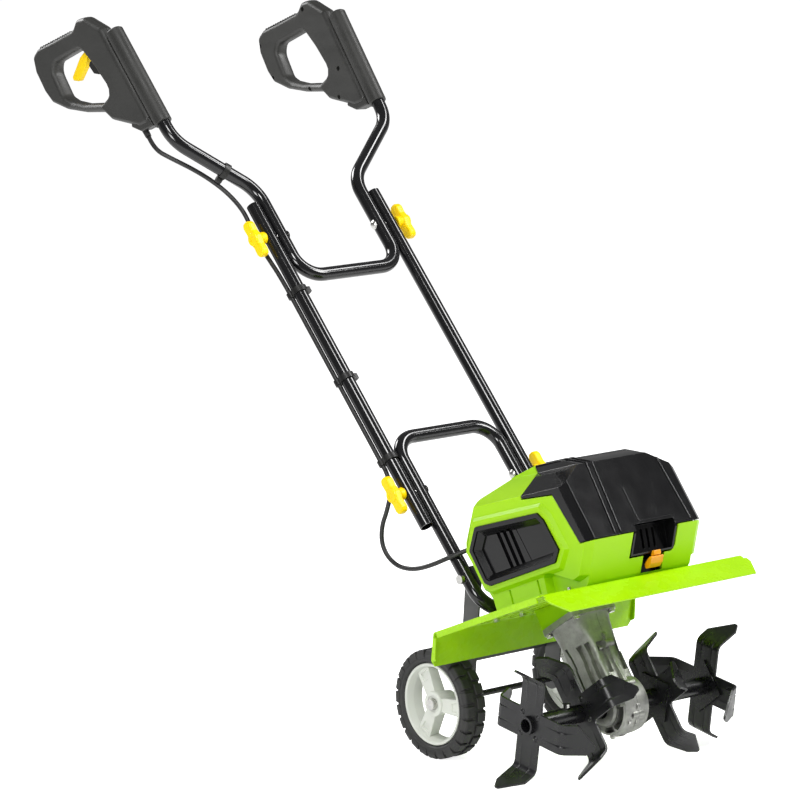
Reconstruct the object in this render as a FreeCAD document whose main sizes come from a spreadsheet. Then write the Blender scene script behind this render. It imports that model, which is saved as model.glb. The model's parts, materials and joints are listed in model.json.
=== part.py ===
"""Battery powered garden tiller with a folding handle.

Axes: +Z up, -Y towards the tines, +Y towards the operator, X across.
The origin is on the ground, under the middle of the machine.
"""
import FreeCAD, Part
import math
import os

import Sketcher
from FreeCAD import Placement, Rotation, Vector

doc = FreeCAD.newDocument("tiller")

# ---------------------------------------------------------------- driving dimensions

DIMENSIONS = [
    ("shaft_y", -526.5, "tine shaft, from the middle of the machine"),
    ("shaft_z", 100.0, "tine shaft above the ground"),
    ("star_outer", 184.3, "outer tine star from the centre line"),
    ("star_inner", 80.0, "inner tine star from the centre line"),
    ("blade_width", 48.0, "tine blade"),
    ("blade_gauge", 4.0, "tine blade"),
    ("blade_bend", 84.4, "radius at which a blade turns sideways"),
    ("tip_side", 58.0, "sideways reach of a blade's tip"),
    ("tip_inward", 46.0, "sideways reach of an inner star's tip towards the gear leg"),
    ("tip_out", 13.5, "outward reach of a blade's tip past the bend"),
    ("hub_tube_radius", 14.0, "tube that carries the stars"),
    ("shaft_radius", 10.0, "tine shaft"),
    ("axle_y", 254.3, "wheel axle behind the tine shaft"),
    ("wheel_radius", 88.0, "wheel, which is also the axle's height"),
    ("rim_radius", 65.5, "wheel rim"),
    ("wheel_face", 167.6, "outer face of a wheel from the centre line"),
    ("tyre_width", 44.0, "tyre"),
    ("axle_radius", 5.0, "wheel axle"),
    ("deck_y", 187.0, "rear fold of the deck behind the tine shaft"),
    ("deck_z", 220.0, "rear fold of the deck above the ground"),
    ("deck_pitch", 20.5, "nose-up pitch of the deck"),
    ("deck_half", 213.0, "half the deck's width"),
    ("deck_length", 267.0, "deck from fold to fold"),
    ("sheet_gauge", 2.0, "sheet metal of the deck"),
    ("shell_half", 121.0, "half the housing's width"),
    ("shell_wall", 3.0, "plastic wall of the housing"),
    ("vent_stand", 6.0, "how far the vent surround stands off the side"),
    ("feature_shift", 24.0, "latch and finger recess, off the centre line"),
    ("leg_pitch", 31.8, "lean of the gearbox leg"),
    ("leg_length", 155.0, "tine shaft to the gearbox flange"),
    ("flange_half", 46.0, "half the gearbox flange"),
    ("worm_offset", 26.0, "worm axis behind the tine shaft, in the leg's frame"),
    ("worm_radius", 6.7, "worm"),
    ("pivot_y", 339.7, "lower handle pivot behind the tine shaft"),
    ("pivot_z", 411.3, "lower handle pivot above the ground"),
    ("mast_lean", 41.0, "lean of the handle from upright"),
    ("handle_radius", 11.25, "handle tubes"),
    ("handle_wall", 1.5, "handle tubes"),
    ("outer_tube", 127.4, "middle tubes from the centre line"),
    ("inner_tube", 104.0, "frame and upper handle legs from the centre line"),
    ("mast_foot", -65.0, "lower end of the middle tubes, from the lower pivot"),
    ("mast_head", 572.5, "upper end of the middle tubes, from the lower pivot"),
    ("upper_pivot", 507.5, "upper handle pivot from the lower one"),
    ("frame_foot", -232.5, "lower cross tube of the frame, from the lower pivot"),
    ("frame_head", 99.5, "upper cross tube of the frame, from the lower pivot"),
    ("grip_spread", 231.0, "top end of the handle from the centre line"),
    ("sleeve_radius", 15.0, "outside of the grip's sleeve"),
    ("sleeve_length", 187.0, "grip's sleeve"),
    ("grip_half", 14.0, "half the grip's thickness"),
    ("bolt_radius", 4.0, "handle bolts"),
    ("motor_radius", 23.0, "motor can"),
    ("drive_bore", 10.5, "open outer ends of the hub tubes"),
    ("knob_width", 26.0, "wing knob along its bolt"),
    ("cable_radius", 3.75, "switch cable"),
]

sheet = doc.addObject("Spreadsheet::Sheet", "Dimensions")
for row, (alias, value, meaning) in enumerate(DIMENSIONS, start=1):
    sheet.set("A%d" % row, meaning)
    sheet.set("B%d" % row, str(value))
    sheet.setAlias("B%d" % row, alias)
doc.recompute()


class Size:
    """A length with the spreadsheet formula that it comes from."""

    def __init__(self, value, formula):
        self.value = float(value)
        self.formula = formula

    def __add__(self, other):
        other = size_of(other)
        return Size(self.value + other.value, "(%s + %s)" % (self.formula, other.formula))

    def __sub__(self, other):
        other = size_of(other)
        return Size(self.value - other.value, "(%s - %s)" % (self.formula, other.formula))

    def __radd__(self, other):
        return size_of(other) + self

    def __rsub__(self, other):
        return size_of(other) - self

    def __mul__(self, other):
        other = size_of(other)
        return Size(self.value * other.value, "(%s * %s)" % (self.formula, other.formula))

    def __neg__(self):
        return Size(-self.value, "(-1 * %s)" % self.formula)

    def __float__(self):
        return self.value


def size_of(number):
    """The number as a Size."""
    if isinstance(number, Size):
        return number
    return Size(number, "(%r)" % float(number))


class Sizes:
    """The sheet's cells, by alias."""

    def __getattr__(self, alias):
        return Size(sheet.get(alias), "Dimensions." + alias)


d = Sizes()

# ---------------------------------------------------------------- frames of the machine

X_AXIS = Vector(1, 0, 0)
Y_AXIS = Vector(0, 1, 0)
Z_AXIS = Vector(0, 0, 1)


class Frame:
    """A place on the centre plane, leaning back by an angle about X."""

    def __init__(self, y, z, lean):
        self.y = d.shaft_y + y
        self.z = size_of(z)
        self.lean = size_of(lean)
        turn = Rotation(Vector(-1, 0, 0), float(lean))
        self.placement = Placement(Vector(0, float(self.y), float(self.z)), turn)


SHAFT = Frame(0, d.shaft_z, 0)
AXLE = Frame(d.axle_y, d.wheel_radius, 0)
DECK = Frame(d.deck_y, d.deck_z, d.deck_pitch)
LEG = Frame(0, d.shaft_z, d.leg_pitch)
MAST = Frame(d.pivot_y, d.pivot_z, d.mast_lean)

parts = []


def stand(item, frame, turn=None):
    """Put an object in a frame of the machine, tied to the sheet, and list it as a part."""
    item.Placement = frame.placement
    if turn is None:
        item.setExpression(".Placement.Rotation.Angle", frame.lean.formula)
    else:
        item.Placement = frame.placement * Placement(Vector(), turn)
    item.setExpression(".Placement.Base.y", frame.y.formula)
    item.setExpression(".Placement.Base.z", frame.z.formula)
    parts.append(item)
    return item


def feature(label, shape, frame):
    """A part whose shape is built in its frame with Part's own functions."""
    item = doc.addObject("Part::Feature", label)
    item.Shape = shape
    item.Placement = frame.placement
    parts.append(item)
    return item


# ---------------------------------------------------------------- PartDesign helpers


def new_body(label):
    return doc.addObject("PartDesign::Body", label)


def origin_plane(body, role):
    return next(item for item in body.Origin.OriginFeatures if item.Role == role)


def new_sketch(body, role, offset=0.0, tilt=0.0):
    """A sketch on one of the body's own planes, moved along its normal and tilted about X."""
    sketch = body.newObject("Sketcher::SketchObject", body.Name + "_sketch")
    sketch.AttachmentSupport = [(origin_plane(body, role), "")]
    sketch.MapMode = "FlatFace"
    turn = Rotation(X_AXIS, tilt)
    sketch.AttachmentOffset = Placement(Vector(0, 0, float(offset)), turn)
    if isinstance(offset, Size):
        sketch.setExpression(".AttachmentOffset.Base.z", offset.formula)
    return sketch


def fix(sketch, kind, index, place, value):
    """Hold a vertex at a distance from the sketch's origin."""
    value = size_of(value)
    axis = {"DistanceX": -2, "DistanceY": -1}[kind]
    if abs(value.value) < 1e-9:
        sketch.addConstraint(Sketcher.Constraint("PointOnObject", index, place, axis))
        return
    held = sketch.addConstraint(Sketcher.Constraint(kind, -1, 1, index, place, value.value))
    sketch.setExpression("Constraints[%d]" % held, value.formula)


def outline(sketch, corners):
    """A closed polygon with every corner held by the sheet."""
    first = sketch.GeometryCount
    points = [Vector(float(u), float(v), 0) for u, v in corners]
    for start, end in zip(points, points[1:] + points[:1]):
        sketch.addGeometry(Part.LineSegment(start, end), False)
    count = len(points)
    for step in range(count):
        joint = Sketcher.Constraint("Coincident", first + step, 2, first + (step + 1) % count, 1)
        sketch.addConstraint(joint)
        fix(sketch, "DistanceX", first + step, 1, corners[step][0])
        fix(sketch, "DistanceY", first + step, 1, corners[step][1])


def circle(sketch, u, v, radius):
    """A circle whose centre and radius are held by the sheet."""
    radius = size_of(radius)
    index = sketch.addGeometry(Part.Circle(Vector(float(u), float(v), 0), Z_AXIS, radius.value))
    held = sketch.addConstraint(Sketcher.Constraint("Radius", index, radius.value))
    sketch.setExpression("Constraints[%d]" % held, radius.formula)
    fix(sketch, "DistanceX", index, 3, u)
    fix(sketch, "DistanceY", index, 3, v)


def block(u0, v0, u1, v1):
    """The corners of a rectangle."""
    return [(u0, v0), (u1, v0), (u1, v1), (u0, v1)]


def pad(body, sketch, length, symmetric=False, reverse=False):
    length = size_of(length)
    item = body.newObject("PartDesign::Pad", body.Name + "_pad")
    item.Profile = sketch
    item.Length = length.value
    item.setExpression("Length", length.formula)
    item.SideType = "Symmetric" if symmetric else "One side"
    item.Reversed = reverse
    return item


def pocket(body, sketch, length, symmetric=False, reverse=False):
    """Cut a pocket, and stop if it takes nothing away."""
    doc.recompute()
    before = body.Shape.Volume
    length = size_of(length)
    item = body.newObject("PartDesign::Pocket", body.Name + "_pocket")
    item.Profile = sketch
    item.Length = length.value
    item.setExpression("Length", length.formula)
    item.SideType = "Symmetric" if symmetric else "One side"
    item.Reversed = reverse
    doc.recompute()
    if body.Shape.Volume > before - 0.5:
        raise RuntimeError("%s: pocket %s cuts nothing" % (body.Name, item.Name))
    return item


def revolve(body, sketch, axis="H_Axis"):
    item = body.newObject("PartDesign::Revolution", body.Name + "_revolution")
    item.Profile = sketch
    item.ReferenceAxis = (sketch, [axis])
    item.Angle = 360.0
    return item


def polar(body, originals, count, role="X_Axis"):
    """Repeat features about one of the body's axes."""
    item = body.newObject("PartDesign::PolarPattern", body.Name + "_pattern")
    item.Originals = originals
    item.Axis = (origin_plane(body, role), [""])
    item.Angle = 360.0
    item.Occurrences = count
    body.Tip = item
    return item


# ---------------------------------------------------------------- Part helpers


def solid_prism(corners, x_low, x_high):
    """A polygon in the Y-Z plane, run along X."""
    points = [Vector(float(x_low), float(y), float(z)) for y, z in corners]
    face = Part.Face(Part.makePolygon(points + points[:1]))
    return face.extrude(Vector(float(x_high) - float(x_low), 0, 0))


def solid_box(low, high):
    """A box between two corners."""
    size = [float(b) - float(a) for a, b in zip(low, high)]
    return Part.makeBox(size[0], size[1], size[2], Vector(*[float(a) for a in low]))


def rod(start, end, radius):
    """A round bar between two points."""
    start = Vector(*[float(a) for a in start])
    end = Vector(*[float(a) for a in end])
    return Part.makeCylinder(float(radius), (end - start).Length, start, end - start)


def rounded_path(points, radii):
    """Straight runs joined by tangent arcs, as (start, middle or None, end, tangents)."""
    points = [Vector(*[float(a) for a in point]) for point in points]
    pieces = []
    here = points[0]
    for index in range(1, len(points) - 1):
        before = (points[index] - points[index - 1]).normalize()
        after = (points[index + 1] - points[index]).normalize()
        turn = before.getAngle(after)
        radius = radii[index - 1]
        reach = radius * math.tan(turn / 2)
        start = points[index] - before * reach
        end = points[index] + after * reach
        inward = (after - before).normalize()
        centre = points[index] + inward * (radius / math.cos(turn / 2))
        middle = centre - inward * radius
        pieces.append((here, None, start, before, before, before))
        pieces.append((start, middle, end, before, (before + after).normalize(), after))
        here = end
    last = (points[-1] - here).normalize()
    pieces.append((here, None, points[-1], last, last, last))
    return pieces


def path_wire(pieces):
    edges = []
    for start, middle, end, *_ in pieces:
        if middle is None:
            edges.append(Part.LineSegment(start, end).toShape())
        else:
            edges.append(Part.Arc(start, middle, end).toShape())
    return Part.Wire(edges)


def swept(pieces, radius, wall=None):
    """A round bar, or a tube with a wall, that follows a path of lines and arcs."""
    lengths = []
    for start, middle, end, *tangents in pieces:
        section = Part.Face(Part.Wire(Part.makeCircle(float(radius), start, tangents[0])))
        if wall is not None:
            bore = Part.Wire(Part.makeCircle(float(radius) - float(wall), start, tangents[0]))
            section = section.cut(Part.Face(bore))
        if middle is None:
            lengths.append(section.extrude(end - start))
        else:
            arc = Part.Arc(start, middle, end).toShape().Curve
            turn = math.degrees(tangents[0].getAngle(tangents[2]))
            axis = tangents[0].cross(tangents[2]).normalize()
            lengths.append(section.revolve(arc.Center, axis, turn))
    solids = [length.Solids[0] if length.Solids else Part.Solid(length) for length in lengths]
    return solids[0].fuse(solids[1:])


def bent_tube(points, bends, radius, wall):
    """A round tube, bent to the given radius at each corner."""
    return swept(rounded_path(points, bends), radius, wall)


def bent_strip(points, bend, gauge, x_low, x_high):
    """A strip of sheet that follows corners in the Y-Z plane, run along X."""
    half = float(gauge) / 2
    pieces = rounded_path([(0, y, z) for y, z in points], [bend] * (len(points) - 2))
    sides = []
    for sign in (half, -half):
        edges = []
        for start, middle, end, *tangents in pieces:
            at = [X_AXIS.cross(tangent) * sign for tangent in tangents]
            if middle is None:
                edges.append(Part.LineSegment(start + at[0], end + at[2]).toShape())
            else:
                edges.append(Part.Arc(start + at[0], middle + at[1], end + at[2]).toShape())
        sides.append(edges)
    first = [side[0].Vertexes[0].Point for side in sides]
    last = [side[-1].Vertexes[-1].Point for side in sides]
    caps = [Part.LineSegment(*first).toShape(), Part.LineSegment(*last).toShape()]
    outline_edges = Part.__sortEdges__(sides[0] + sides[1] + caps)
    face = Part.Face(Part.Wire(outline_edges))
    strip = face.extrude(Vector(float(x_high) - float(x_low), 0, 0))
    strip.translate(Vector(float(x_low), 0, 0))
    return strip


def mirrored(shape):
    return shape.mirror(Vector(), X_AXIS)


def both_sides(shape):
    """The shape and its mirror image, as one compound of separate solids."""
    return Part.makeCompound([shape, mirrored(shape)])


def seen_from(shape, frame, other):
    """A shape drawn in one frame, as it lies in another."""
    copy = shape.copy()
    copy.transformShape((other.placement.inverse() * frame.placement).toMatrix(), True)
    return copy


# ---------------------------------------------------------------- frame and handle tubes

TUBE_BEND = 42.0
HOLE_PLAY = 0.05


def bolt_hole(x, y, z, reach, radius):
    return rod((x - reach, y, z), (x + reach, y, z), radius)


def make_lower_frame():
    """A closed hoop of tube, leaning with the handle, that carries the middle tubes."""
    x = d.inner_tube.value
    low, high = d.frame_foot.value, d.frame_head.value
    middle = (low + high) / 2
    corners = [(-x, 0, middle), (-x, 0, high), (x, 0, high), (x, 0, low), (-x, 0, low),
               (-x, 0, middle)]
    hoop = bent_tube(corners, [TUBE_BEND] * 4, d.handle_radius, d.handle_wall)
    for side in (-1, 1):
        for z in (0.0, FRAME_BOLT_Z):
            hole = bolt_hole(side * x, 0, z, 14, d.bolt_radius.value + HOLE_PLAY)
            hoop = hoop.cut(hole)
    feature("lower_frame", hoop.removeSplitter(), MAST)


def make_middle_tubes():
    """The two straight tubes between the frame and the upper handle."""
    for name, side in (("middle_tube_left", -1), ("middle_tube_right", 1)):
        body = new_body(name)
        across = new_sketch(body, "XY_Plane", d.mast_foot)
        circle(across, d.outer_tube * side, 0, d.handle_radius)
        circle(across, d.outer_tube * side, 0, d.handle_radius - d.handle_wall)
        pad(body, across, d.mast_head - d.mast_foot)
        holes = new_sketch(body, "YZ_Plane", d.outer_tube * side)
        circle(holes, 0, 0, d.bolt_radius + HOLE_PLAY)
        circle(holes, 0, d.upper_pivot, d.bolt_radius + HOLE_PLAY)
        pocket(body, holes, d.handle_radius * 4, symmetric=True)
        stand(body, MAST)


UPPER_CROSS_Z = 424.5
UPPER_BENDS = [(104.0, 0.0, 602.0), (226.5, -13.2, 707.2), (237.0, -24.6, 927.0)]
UPPER_RADII = [TUBE_BEND, TUBE_BEND, 60.0, 60.0]


def upper_half(side):
    """One leg of the upper handle, from the cross tube to the grip."""
    start = [(side * d.inner_tube.value, 0, UPPER_CROSS_Z)]
    return start + [(side * x, y, z) for x, y, z in UPPER_BENDS]


def make_upper_handle():
    """One tube: a cross piece, two straight legs, and an outward S bend to each grip."""
    corners = upper_half(-1)[::-1] + upper_half(1)
    radii = UPPER_RADII[::-1][:2] + [TUBE_BEND, TUBE_BEND] + UPPER_RADII[2:]
    handle = bent_tube(corners, radii, d.handle_radius, d.handle_wall)
    for side in (-1, 1):
        x = side * d.inner_tube.value
        hole = bolt_hole(x, 0, d.upper_pivot, 14, d.bolt_radius + HOLE_PLAY)
        handle = handle.cut(hole)
    feature("upper_handle", handle, MAST)


# ---------------------------------------------------------------- bolts and wing knobs

FRAME_BOLT_Z = -167.5
HEAD_RADIUS = 8.0
HEAD_HEIGHT = 4.0


def dome(x, y, z, radius, height, side):
    """A domed head whose flat is at x and whose crown points to one side."""
    ball_radius = (radius ** 2 + height ** 2) / (2 * height)
    ball = Part.makeSphere(ball_radius, Vector(x + side * (height - ball_radius), y, z))
    return ball.common(rod((x, y, z), (x + side * height, y, z), radius + 1))


def handle_bolt(side, z, x_end):
    """A dome-headed bolt from inside the inner tube out to the knob."""
    x_head = side * (d.inner_tube.value - d.handle_radius.value - 0.2)
    shank = rod((x_head, 0, z), (side * x_end, 0, z), d.bolt_radius)
    return shank.fuse(dome(x_head, 0, z, HEAD_RADIUS, HEAD_HEIGHT, -side))


def make_handle_bolts():
    """Pivot bolts of the two folds, and the domed bolts that hold the wheel bracket."""
    knob_depth = d.outer_tube.value + d.handle_radius.value + 16
    lower = [handle_bolt(side, 0, knob_depth) for side in (-1, 1)]
    for side in (-1, 1):
        inside = side * (BRACKET_X - BRACKET_GAUGE / 2 - 0.2)
        outside = side * (d.inner_tube.value + d.handle_radius.value + 0.2)
        shank = rod((inside, 0, FRAME_BOLT_Z), (outside, 0, FRAME_BOLT_Z), d.bolt_radius)
        nut = rod((outside, 0, FRAME_BOLT_Z), (outside + side * 6, 0, FRAME_BOLT_Z), 7.5)
        cap = dome(outside + side * 6, 0, FRAME_BOLT_Z, 6.5, 6, side)
        head = dome(inside, 0, FRAME_BOLT_Z, HEAD_RADIUS, HEAD_HEIGHT, -side)
        lower.append(shank.fuse([nut, cap, head]))
    feature("frame_bolts", Part.makeCompound(lower), MAST)
    upper = [handle_bolt(side, d.upper_pivot.value, knob_depth) for side in (-1, 1)]
    feature("upper_knob_bolts", Part.makeCompound(upper), MAST)


def make_wing_knob(name, side, z):
    """A two-winged clamping knob on the end of a handle bolt."""
    body = new_body(name)
    face = (d.outer_tube + d.handle_radius + 0.4) * side
    wings = new_sketch(body, "YZ_Plane", face + 11.0 * side)
    wing = [(-9, -12), (-7.5, -30), (-3, -34), (3, -34), (7.5, -30), (9, -12),
            (9, 12), (7.5, 30), (3, 34), (-3, 34), (-7.5, 30), (-9, 12)]
    outline(wings, [(u, v + z) for u, v in wing])
    pad(body, wings, d.knob_width - 11.0, reverse=side < 0)
    hub = new_sketch(body, "YZ_Plane", face)
    circle(hub, 0, z, 11.5)
    pad(body, hub, d.knob_width, reverse=side < 0)
    bore = new_sketch(body, "YZ_Plane", face)
    circle(bore, 0, z, d.bolt_radius + HOLE_PLAY)
    pocket(body, bore, 16.5, reverse=side > 0)
    mouth = new_sketch(body, "YZ_Plane", face + d.knob_width * side)
    circle(mouth, 0, z, 5.0)
    pocket(body, mouth, 4.0, reverse=side < 0)
    stand(body, MAST)


# ---------------------------------------------------------------- deck

DECK_BEND = 5.0
FLANGE_END = (-304.5, -35.0)
SKIRT_END = (26.8, -48.7)
MOTOR_HOLE = 41.0


def make_fender():
    """The sheet-metal deck: plate, drooping front flange, rear skirt and side lips."""
    half = d.deck_half.value
    gauge = d.sheet_gauge.value
    front = -d.deck_length.value
    fold = [FLANGE_END, (front, 0), (0, 0), SKIRT_END]
    deck = bent_strip(fold, DECK_BEND, gauge, -half, half)
    lip = solid_box((half - gauge, front + 12, -9), (half, -6, 0))
    skirt_edge = [(-2, -8), (4.4, -8), (25, -46), (16, -46)]
    lip = lip.fuse(solid_prism(skirt_edge, half - gauge, half))
    deck = deck.fuse([lip, mirrored(lip)])
    corner = 24.0
    for side in (-1, 1):
        cut = Part.Face(Part.makePolygon([
            Vector(side * (half + 1), FLANGE_END[0] - 9, -60),
            Vector(side * (half + 1), FLANGE_END[0] + corner, -60),
            Vector(side * (half - corner), FLANGE_END[0] - 9, -60),
            Vector(side * (half + 1), FLANGE_END[0] - 9, -60)])).extrude(Vector(0, 0, 70))
        relief = solid_box((side * half - 5, front - 7, -12), (side * half + 5, front + 6, 4))
        foot = Part.Face(Part.makePolygon([
            Vector(side * (half + 1), 40, -60), Vector(side * (half + 1), 40, -38),
            Vector(side * (half - 16), 40, -60),
            Vector(side * (half + 1), 40, -60)])).extrude(Vector(0, -40, 0))
        deck = deck.cut([cut, relief, foot])
    hole = rod((0, MOTOR_Y, -20), (0, MOTOR_Y, 20), MOTOR_HOLE)
    deck = deck.cut(hole)
    for x, y in DECK_BOLTS:
        deck = deck.cut(rod((x, y, -5), (x, y, 5), 3.05))
        deck = deck.cut(rod((-x, y, -5), (-x, y, 5), 3.05))
    feature("fender", deck.removeSplitter(), DECK)


MOTOR_Y = -98.0
DECK_BOLTS = [(62.0, -40.0), (62.0, -190.0), (108.0, -30.0), (108.0, -215.0)]


def make_deck_bolts():
    """Hex-head screws that hold the housing and the gear leg to the deck."""
    screws = []
    for x, y in DECK_BOLTS:
        for side in (-1, 1):
            head = Part.Face(Part.makePolygon([
                Vector(side * x + 5.5 * math.cos(a), y + 5.5 * math.sin(a), -5.2)
                for a in [math.radians(60 * n) for n in range(7)]])).extrude(Vector(0, 0, 4))
            screws.append(head.fuse(rod((side * x, y, -1.2), (side * x, y, 9), 3.0)))
    feature("deck_bolts", Part.makeCompound(screws), DECK)


def make_frame_clamps():
    """Two saddles that strap the frame's lower cross tube to the deck."""
    radius = d.handle_radius.value
    tube_y, tube_z = clamp_centre()
    saddles = []
    for side in (-1, 1):
        x = side * 45.0
        outer, inner = radius + 2.3, radius + 0.3
        ring = rod((x - 10, tube_y, tube_z), (x + 10, tube_y, tube_z), outer)
        ring = ring.fuse(solid_box((x - 10, tube_y - outer, 1.2), (x + 10, tube_y + outer, tube_z)))
        ring = ring.cut(rod((x - 11, tube_y, tube_z), (x + 11, tube_y, tube_z), inner))
        ring = ring.cut(solid_box((x - 11, tube_y - inner, -20), (x + 11, tube_y + inner, tube_z)))
        ring = ring.common(solid_box((x - 10, tube_y - 30, 1.2), (x + 10, tube_y + 30, 60)))
        foot = solid_box((x - 10, tube_y - radius - 18, 1.2), (x + 10, tube_y - inner, 3.4))
        saddles.append(ring.fuse(foot).removeSplitter())
    feature("frame_clamps", Part.makeCompound(saddles), DECK)


def clamp_centre():
    """The lower cross tube's centre in the deck's frame."""
    local = MAST.placement.multVec(Vector(0, 0, d.frame_foot.value))
    seen = DECK.placement.inverse().multVec(local)
    return seen.y, seen.z


# ---------------------------------------------------------------- wheels and their bracket

BRACKET_X = 90.7
BRACKET_GAUGE = 3.0


def bracket_top():
    """The bracket's upper bolt in the axle's frame."""
    place = MAST.placement.multVec(Vector(0, 0, FRAME_BOLT_Z))
    seen = AXLE.placement.inverse().multVec(place)
    return seen.y, seen.z


def make_wheel_bracket():
    """Two flat arms from the frame down to the axle, joined by a cross plate."""
    top_y, top_z = bracket_top()
    half_gauge = BRACKET_GAUGE / 2
    arms = []
    for side in (-1, 1):
        x0 = side * BRACKET_X - half_gauge
        x1 = side * BRACKET_X + half_gauge
        blade = solid_prism([(-17, 0), (17, 0), (top_y + 18, top_z), (top_y - 18, top_z)], x0, x1)
        top = rod((x0, top_y, top_z), (x1, top_y, top_z), 18)
        foot = rod((x0, 0, 0), (x1, 0, 0), 17)
        arm = blade.fuse([top, foot])
        arm = arm.cut(rod((x0 - 1, 0, 0), (x1 + 1, 0, 0), d.axle_radius.value + HOLE_PLAY))
        hole_radius = d.bolt_radius.value + HOLE_PLAY
        arm = arm.cut(rod((x0 - 1, top_y, top_z), (x1 + 1, top_y, top_z), hole_radius))
        arms.append(arm)
    inner = BRACKET_X - half_gauge
    web = solid_prism([(9, 52), (12, 52), (3, 108), (0, 108)], -inner - 1, inner + 1)
    feature("wheel_bracket", arms[0].fuse([arms[1], web]).removeSplitter(), AXLE)


def make_axle():
    """The plain rod that carries both wheels."""
    reach = d.wheel_face - 2.0
    body = new_body("wheel_axle")
    section = new_sketch(body, "YZ_Plane")
    circle(section, 0, 0, d.axle_radius)
    pad(body, section, reach * 2, symmetric=True)
    stand(body, AXLE)


def make_axle_nuts():
    """Lock nuts each side of the bracket, and push-on caps outside the wheels."""
    radius = d.axle_radius.value
    inner_x = BRACKET_X + BRACKET_GAUGE / 2 + 0.1
    nuts = []
    for side in (-1, 1):
        corners = [Vector(side * inner_x, 8 * math.cos(a), 8 * math.sin(a))
                   for a in [math.radians(60 * n) for n in range(7)]]
        nut = Part.Face(Part.makePolygon(corners)).extrude(Vector(side * 7, 0, 0))
        nuts.append(nut.cut(rod((side * 80, 0, 0), (side * 110, 0, 0), radius)))
        face = d.wheel_face.value - 2.0
        cap = rod((side * (face - 6), 0, 0), (side * (face + 2), 0, 0), 9)
        nuts.append(cap.cut(rod((side * (face - 7), 0, 0), (side * face, 0, 0), radius)))
    feature("axle_nuts", Part.makeCompound(nuts), AXLE)


SPOKE_COUNT = 3
TREAD_COUNT = 26


def make_wheel(name, side):
    """A spoked plastic rim and a block-tread tyre that spin on the axle."""
    face = d.wheel_face * side
    back = (d.wheel_face - d.tyre_width) * side
    inset = 7.0 * side
    rim = new_body("wheel_rim_" + name)
    barrel = new_sketch(rim, "XY_Plane")
    outline(barrel, [(face - inset, d.rim_radius), (back + inset, d.rim_radius),
                     (back + inset, d.rim_radius - 5.0), (face - inset, d.rim_radius - 7.0)])
    revolve(rim, barrel)
    boss = new_sketch(rim, "XY_Plane")
    outline(boss, [(face - 8.0 * side, d.axle_radius + 0.08),
                   (face - 8.0 * side, 15.0), (back, 17.0), (back, d.axle_radius + 0.08)])
    revolve(rim, boss)
    spoke = new_sketch(rim, "XY_Plane", -9.0)
    reach = -d.rim_radius + 3.0
    outline(spoke, [(face - 10.0 * side, -12.0), (face - 10.0 * side, reach),
                    (face - 26.0 * side, reach), (face - 30.0 * side, -12.0)])
    arm = pad(rim, spoke, 18.0)
    polar(rim, [arm], SPOKE_COUNT)
    stand(rim, AXLE)
    tyre = new_body("tyre_" + name)
    tread = new_sketch(tyre, "XY_Plane")
    shoulder = 4.0 * side
    outline(tread, [(back, d.rim_radius + 6.0), (back + shoulder, d.wheel_radius - 4.0),
                    (back + shoulder * 2, d.wheel_radius), (face - shoulder * 2, d.wheel_radius),
                    (face - shoulder, d.wheel_radius - 4.0), (face, d.rim_radius + 6.0),
                    (face - inset, d.rim_radius), (back + inset, d.rim_radius)])
    revolve(tyre, tread)
    slot = new_sketch(tyre, "XY_Plane", -3.0)
    outline(slot, block(back - shoulder, d.wheel_radius - 3.5,
                        back + 16.0 * side, d.wheel_radius + 2.0))
    outline(slot, block(face - 16.0 * side, d.wheel_radius - 3.5,
                        face + shoulder, d.wheel_radius + 2.0))
    cut = pocket(tyre, slot, 6.0, reverse=True)
    polar(tyre, [cut], TREAD_COUNT)
    stand(tyre, AXLE)


# ---------------------------------------------------------------- housing and cover

SIDE_OUTLINE = [(-253, 1.2), (-260, 6), (-301, 64.5), (-288, 64.5), (-254, 149),
                (-174.5, 159), (-166, 208.5), (-110, 204), (-60, 186), (-13, 127),
                (-7, 112), (-42, 28), (-52, 1.2)]
SIDE_CAVITY = [(-250, 0), (-257, 8), (-297, 68), (-283, 68), (-249, 155),
               (-172, 165), (-162.5, 204.8), (-111, 200.6), (-62, 183), (-16.5, 125.5),
               (-10.5, 112), (-45, 29), (-55, 0)]
COVER_OUTLINE = [(-302, 66), (-265, 187), (-225, 203), (-167.5, 209), (-176, 160.5),
                 (-255.5, 150.5), (-289.5, 66)]
COVER_CAVITY = [(-298.6, 65), (-262.3, 184.4), (-224, 199.8), (-181, 203.9), (-181, 150),
                (-250, 140), (-284, 65)]
BEVEL_TILT = 5.0
BEVEL_LOW = 158.0
BEVEL_HIGH = 187.0
BEVEL_Y = -268.0
BEVEL_TOP_X = 70.0
VENT_OUTLINE = [(-60, 144), (-210, 131), (-221, 117), (-238, 66), (-222, 49), (-60, 49),
                (-49, 56), (-33, 112), (-55, 138)]


HINGE_Y = -174.5
HINGE_Z = 202.0
HINGE_RADIUS = 2.0
HINGE_LENGTH = 110.0
HINGE_SWEEP = 10.6


def hollowed(label, outer, cavity):
    """An outer body less its cavity, standing on the deck."""
    shell = doc.addObject("Part::Cut", label)
    shell.Base = outer
    shell.Tool = cavity
    stand(shell, DECK)


def cavity_body(label, profile, inset):
    """The space inside a shell, with the same bevelled shoulders as the outside."""
    body = new_body(label)
    side_view = new_sketch(body, "YZ_Plane")
    outline(side_view, profile)
    pad(body, side_view, (d.shell_half - d.shell_wall) * 2, symmetric=True)
    bevel_cut(body, inset)
    return body


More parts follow.
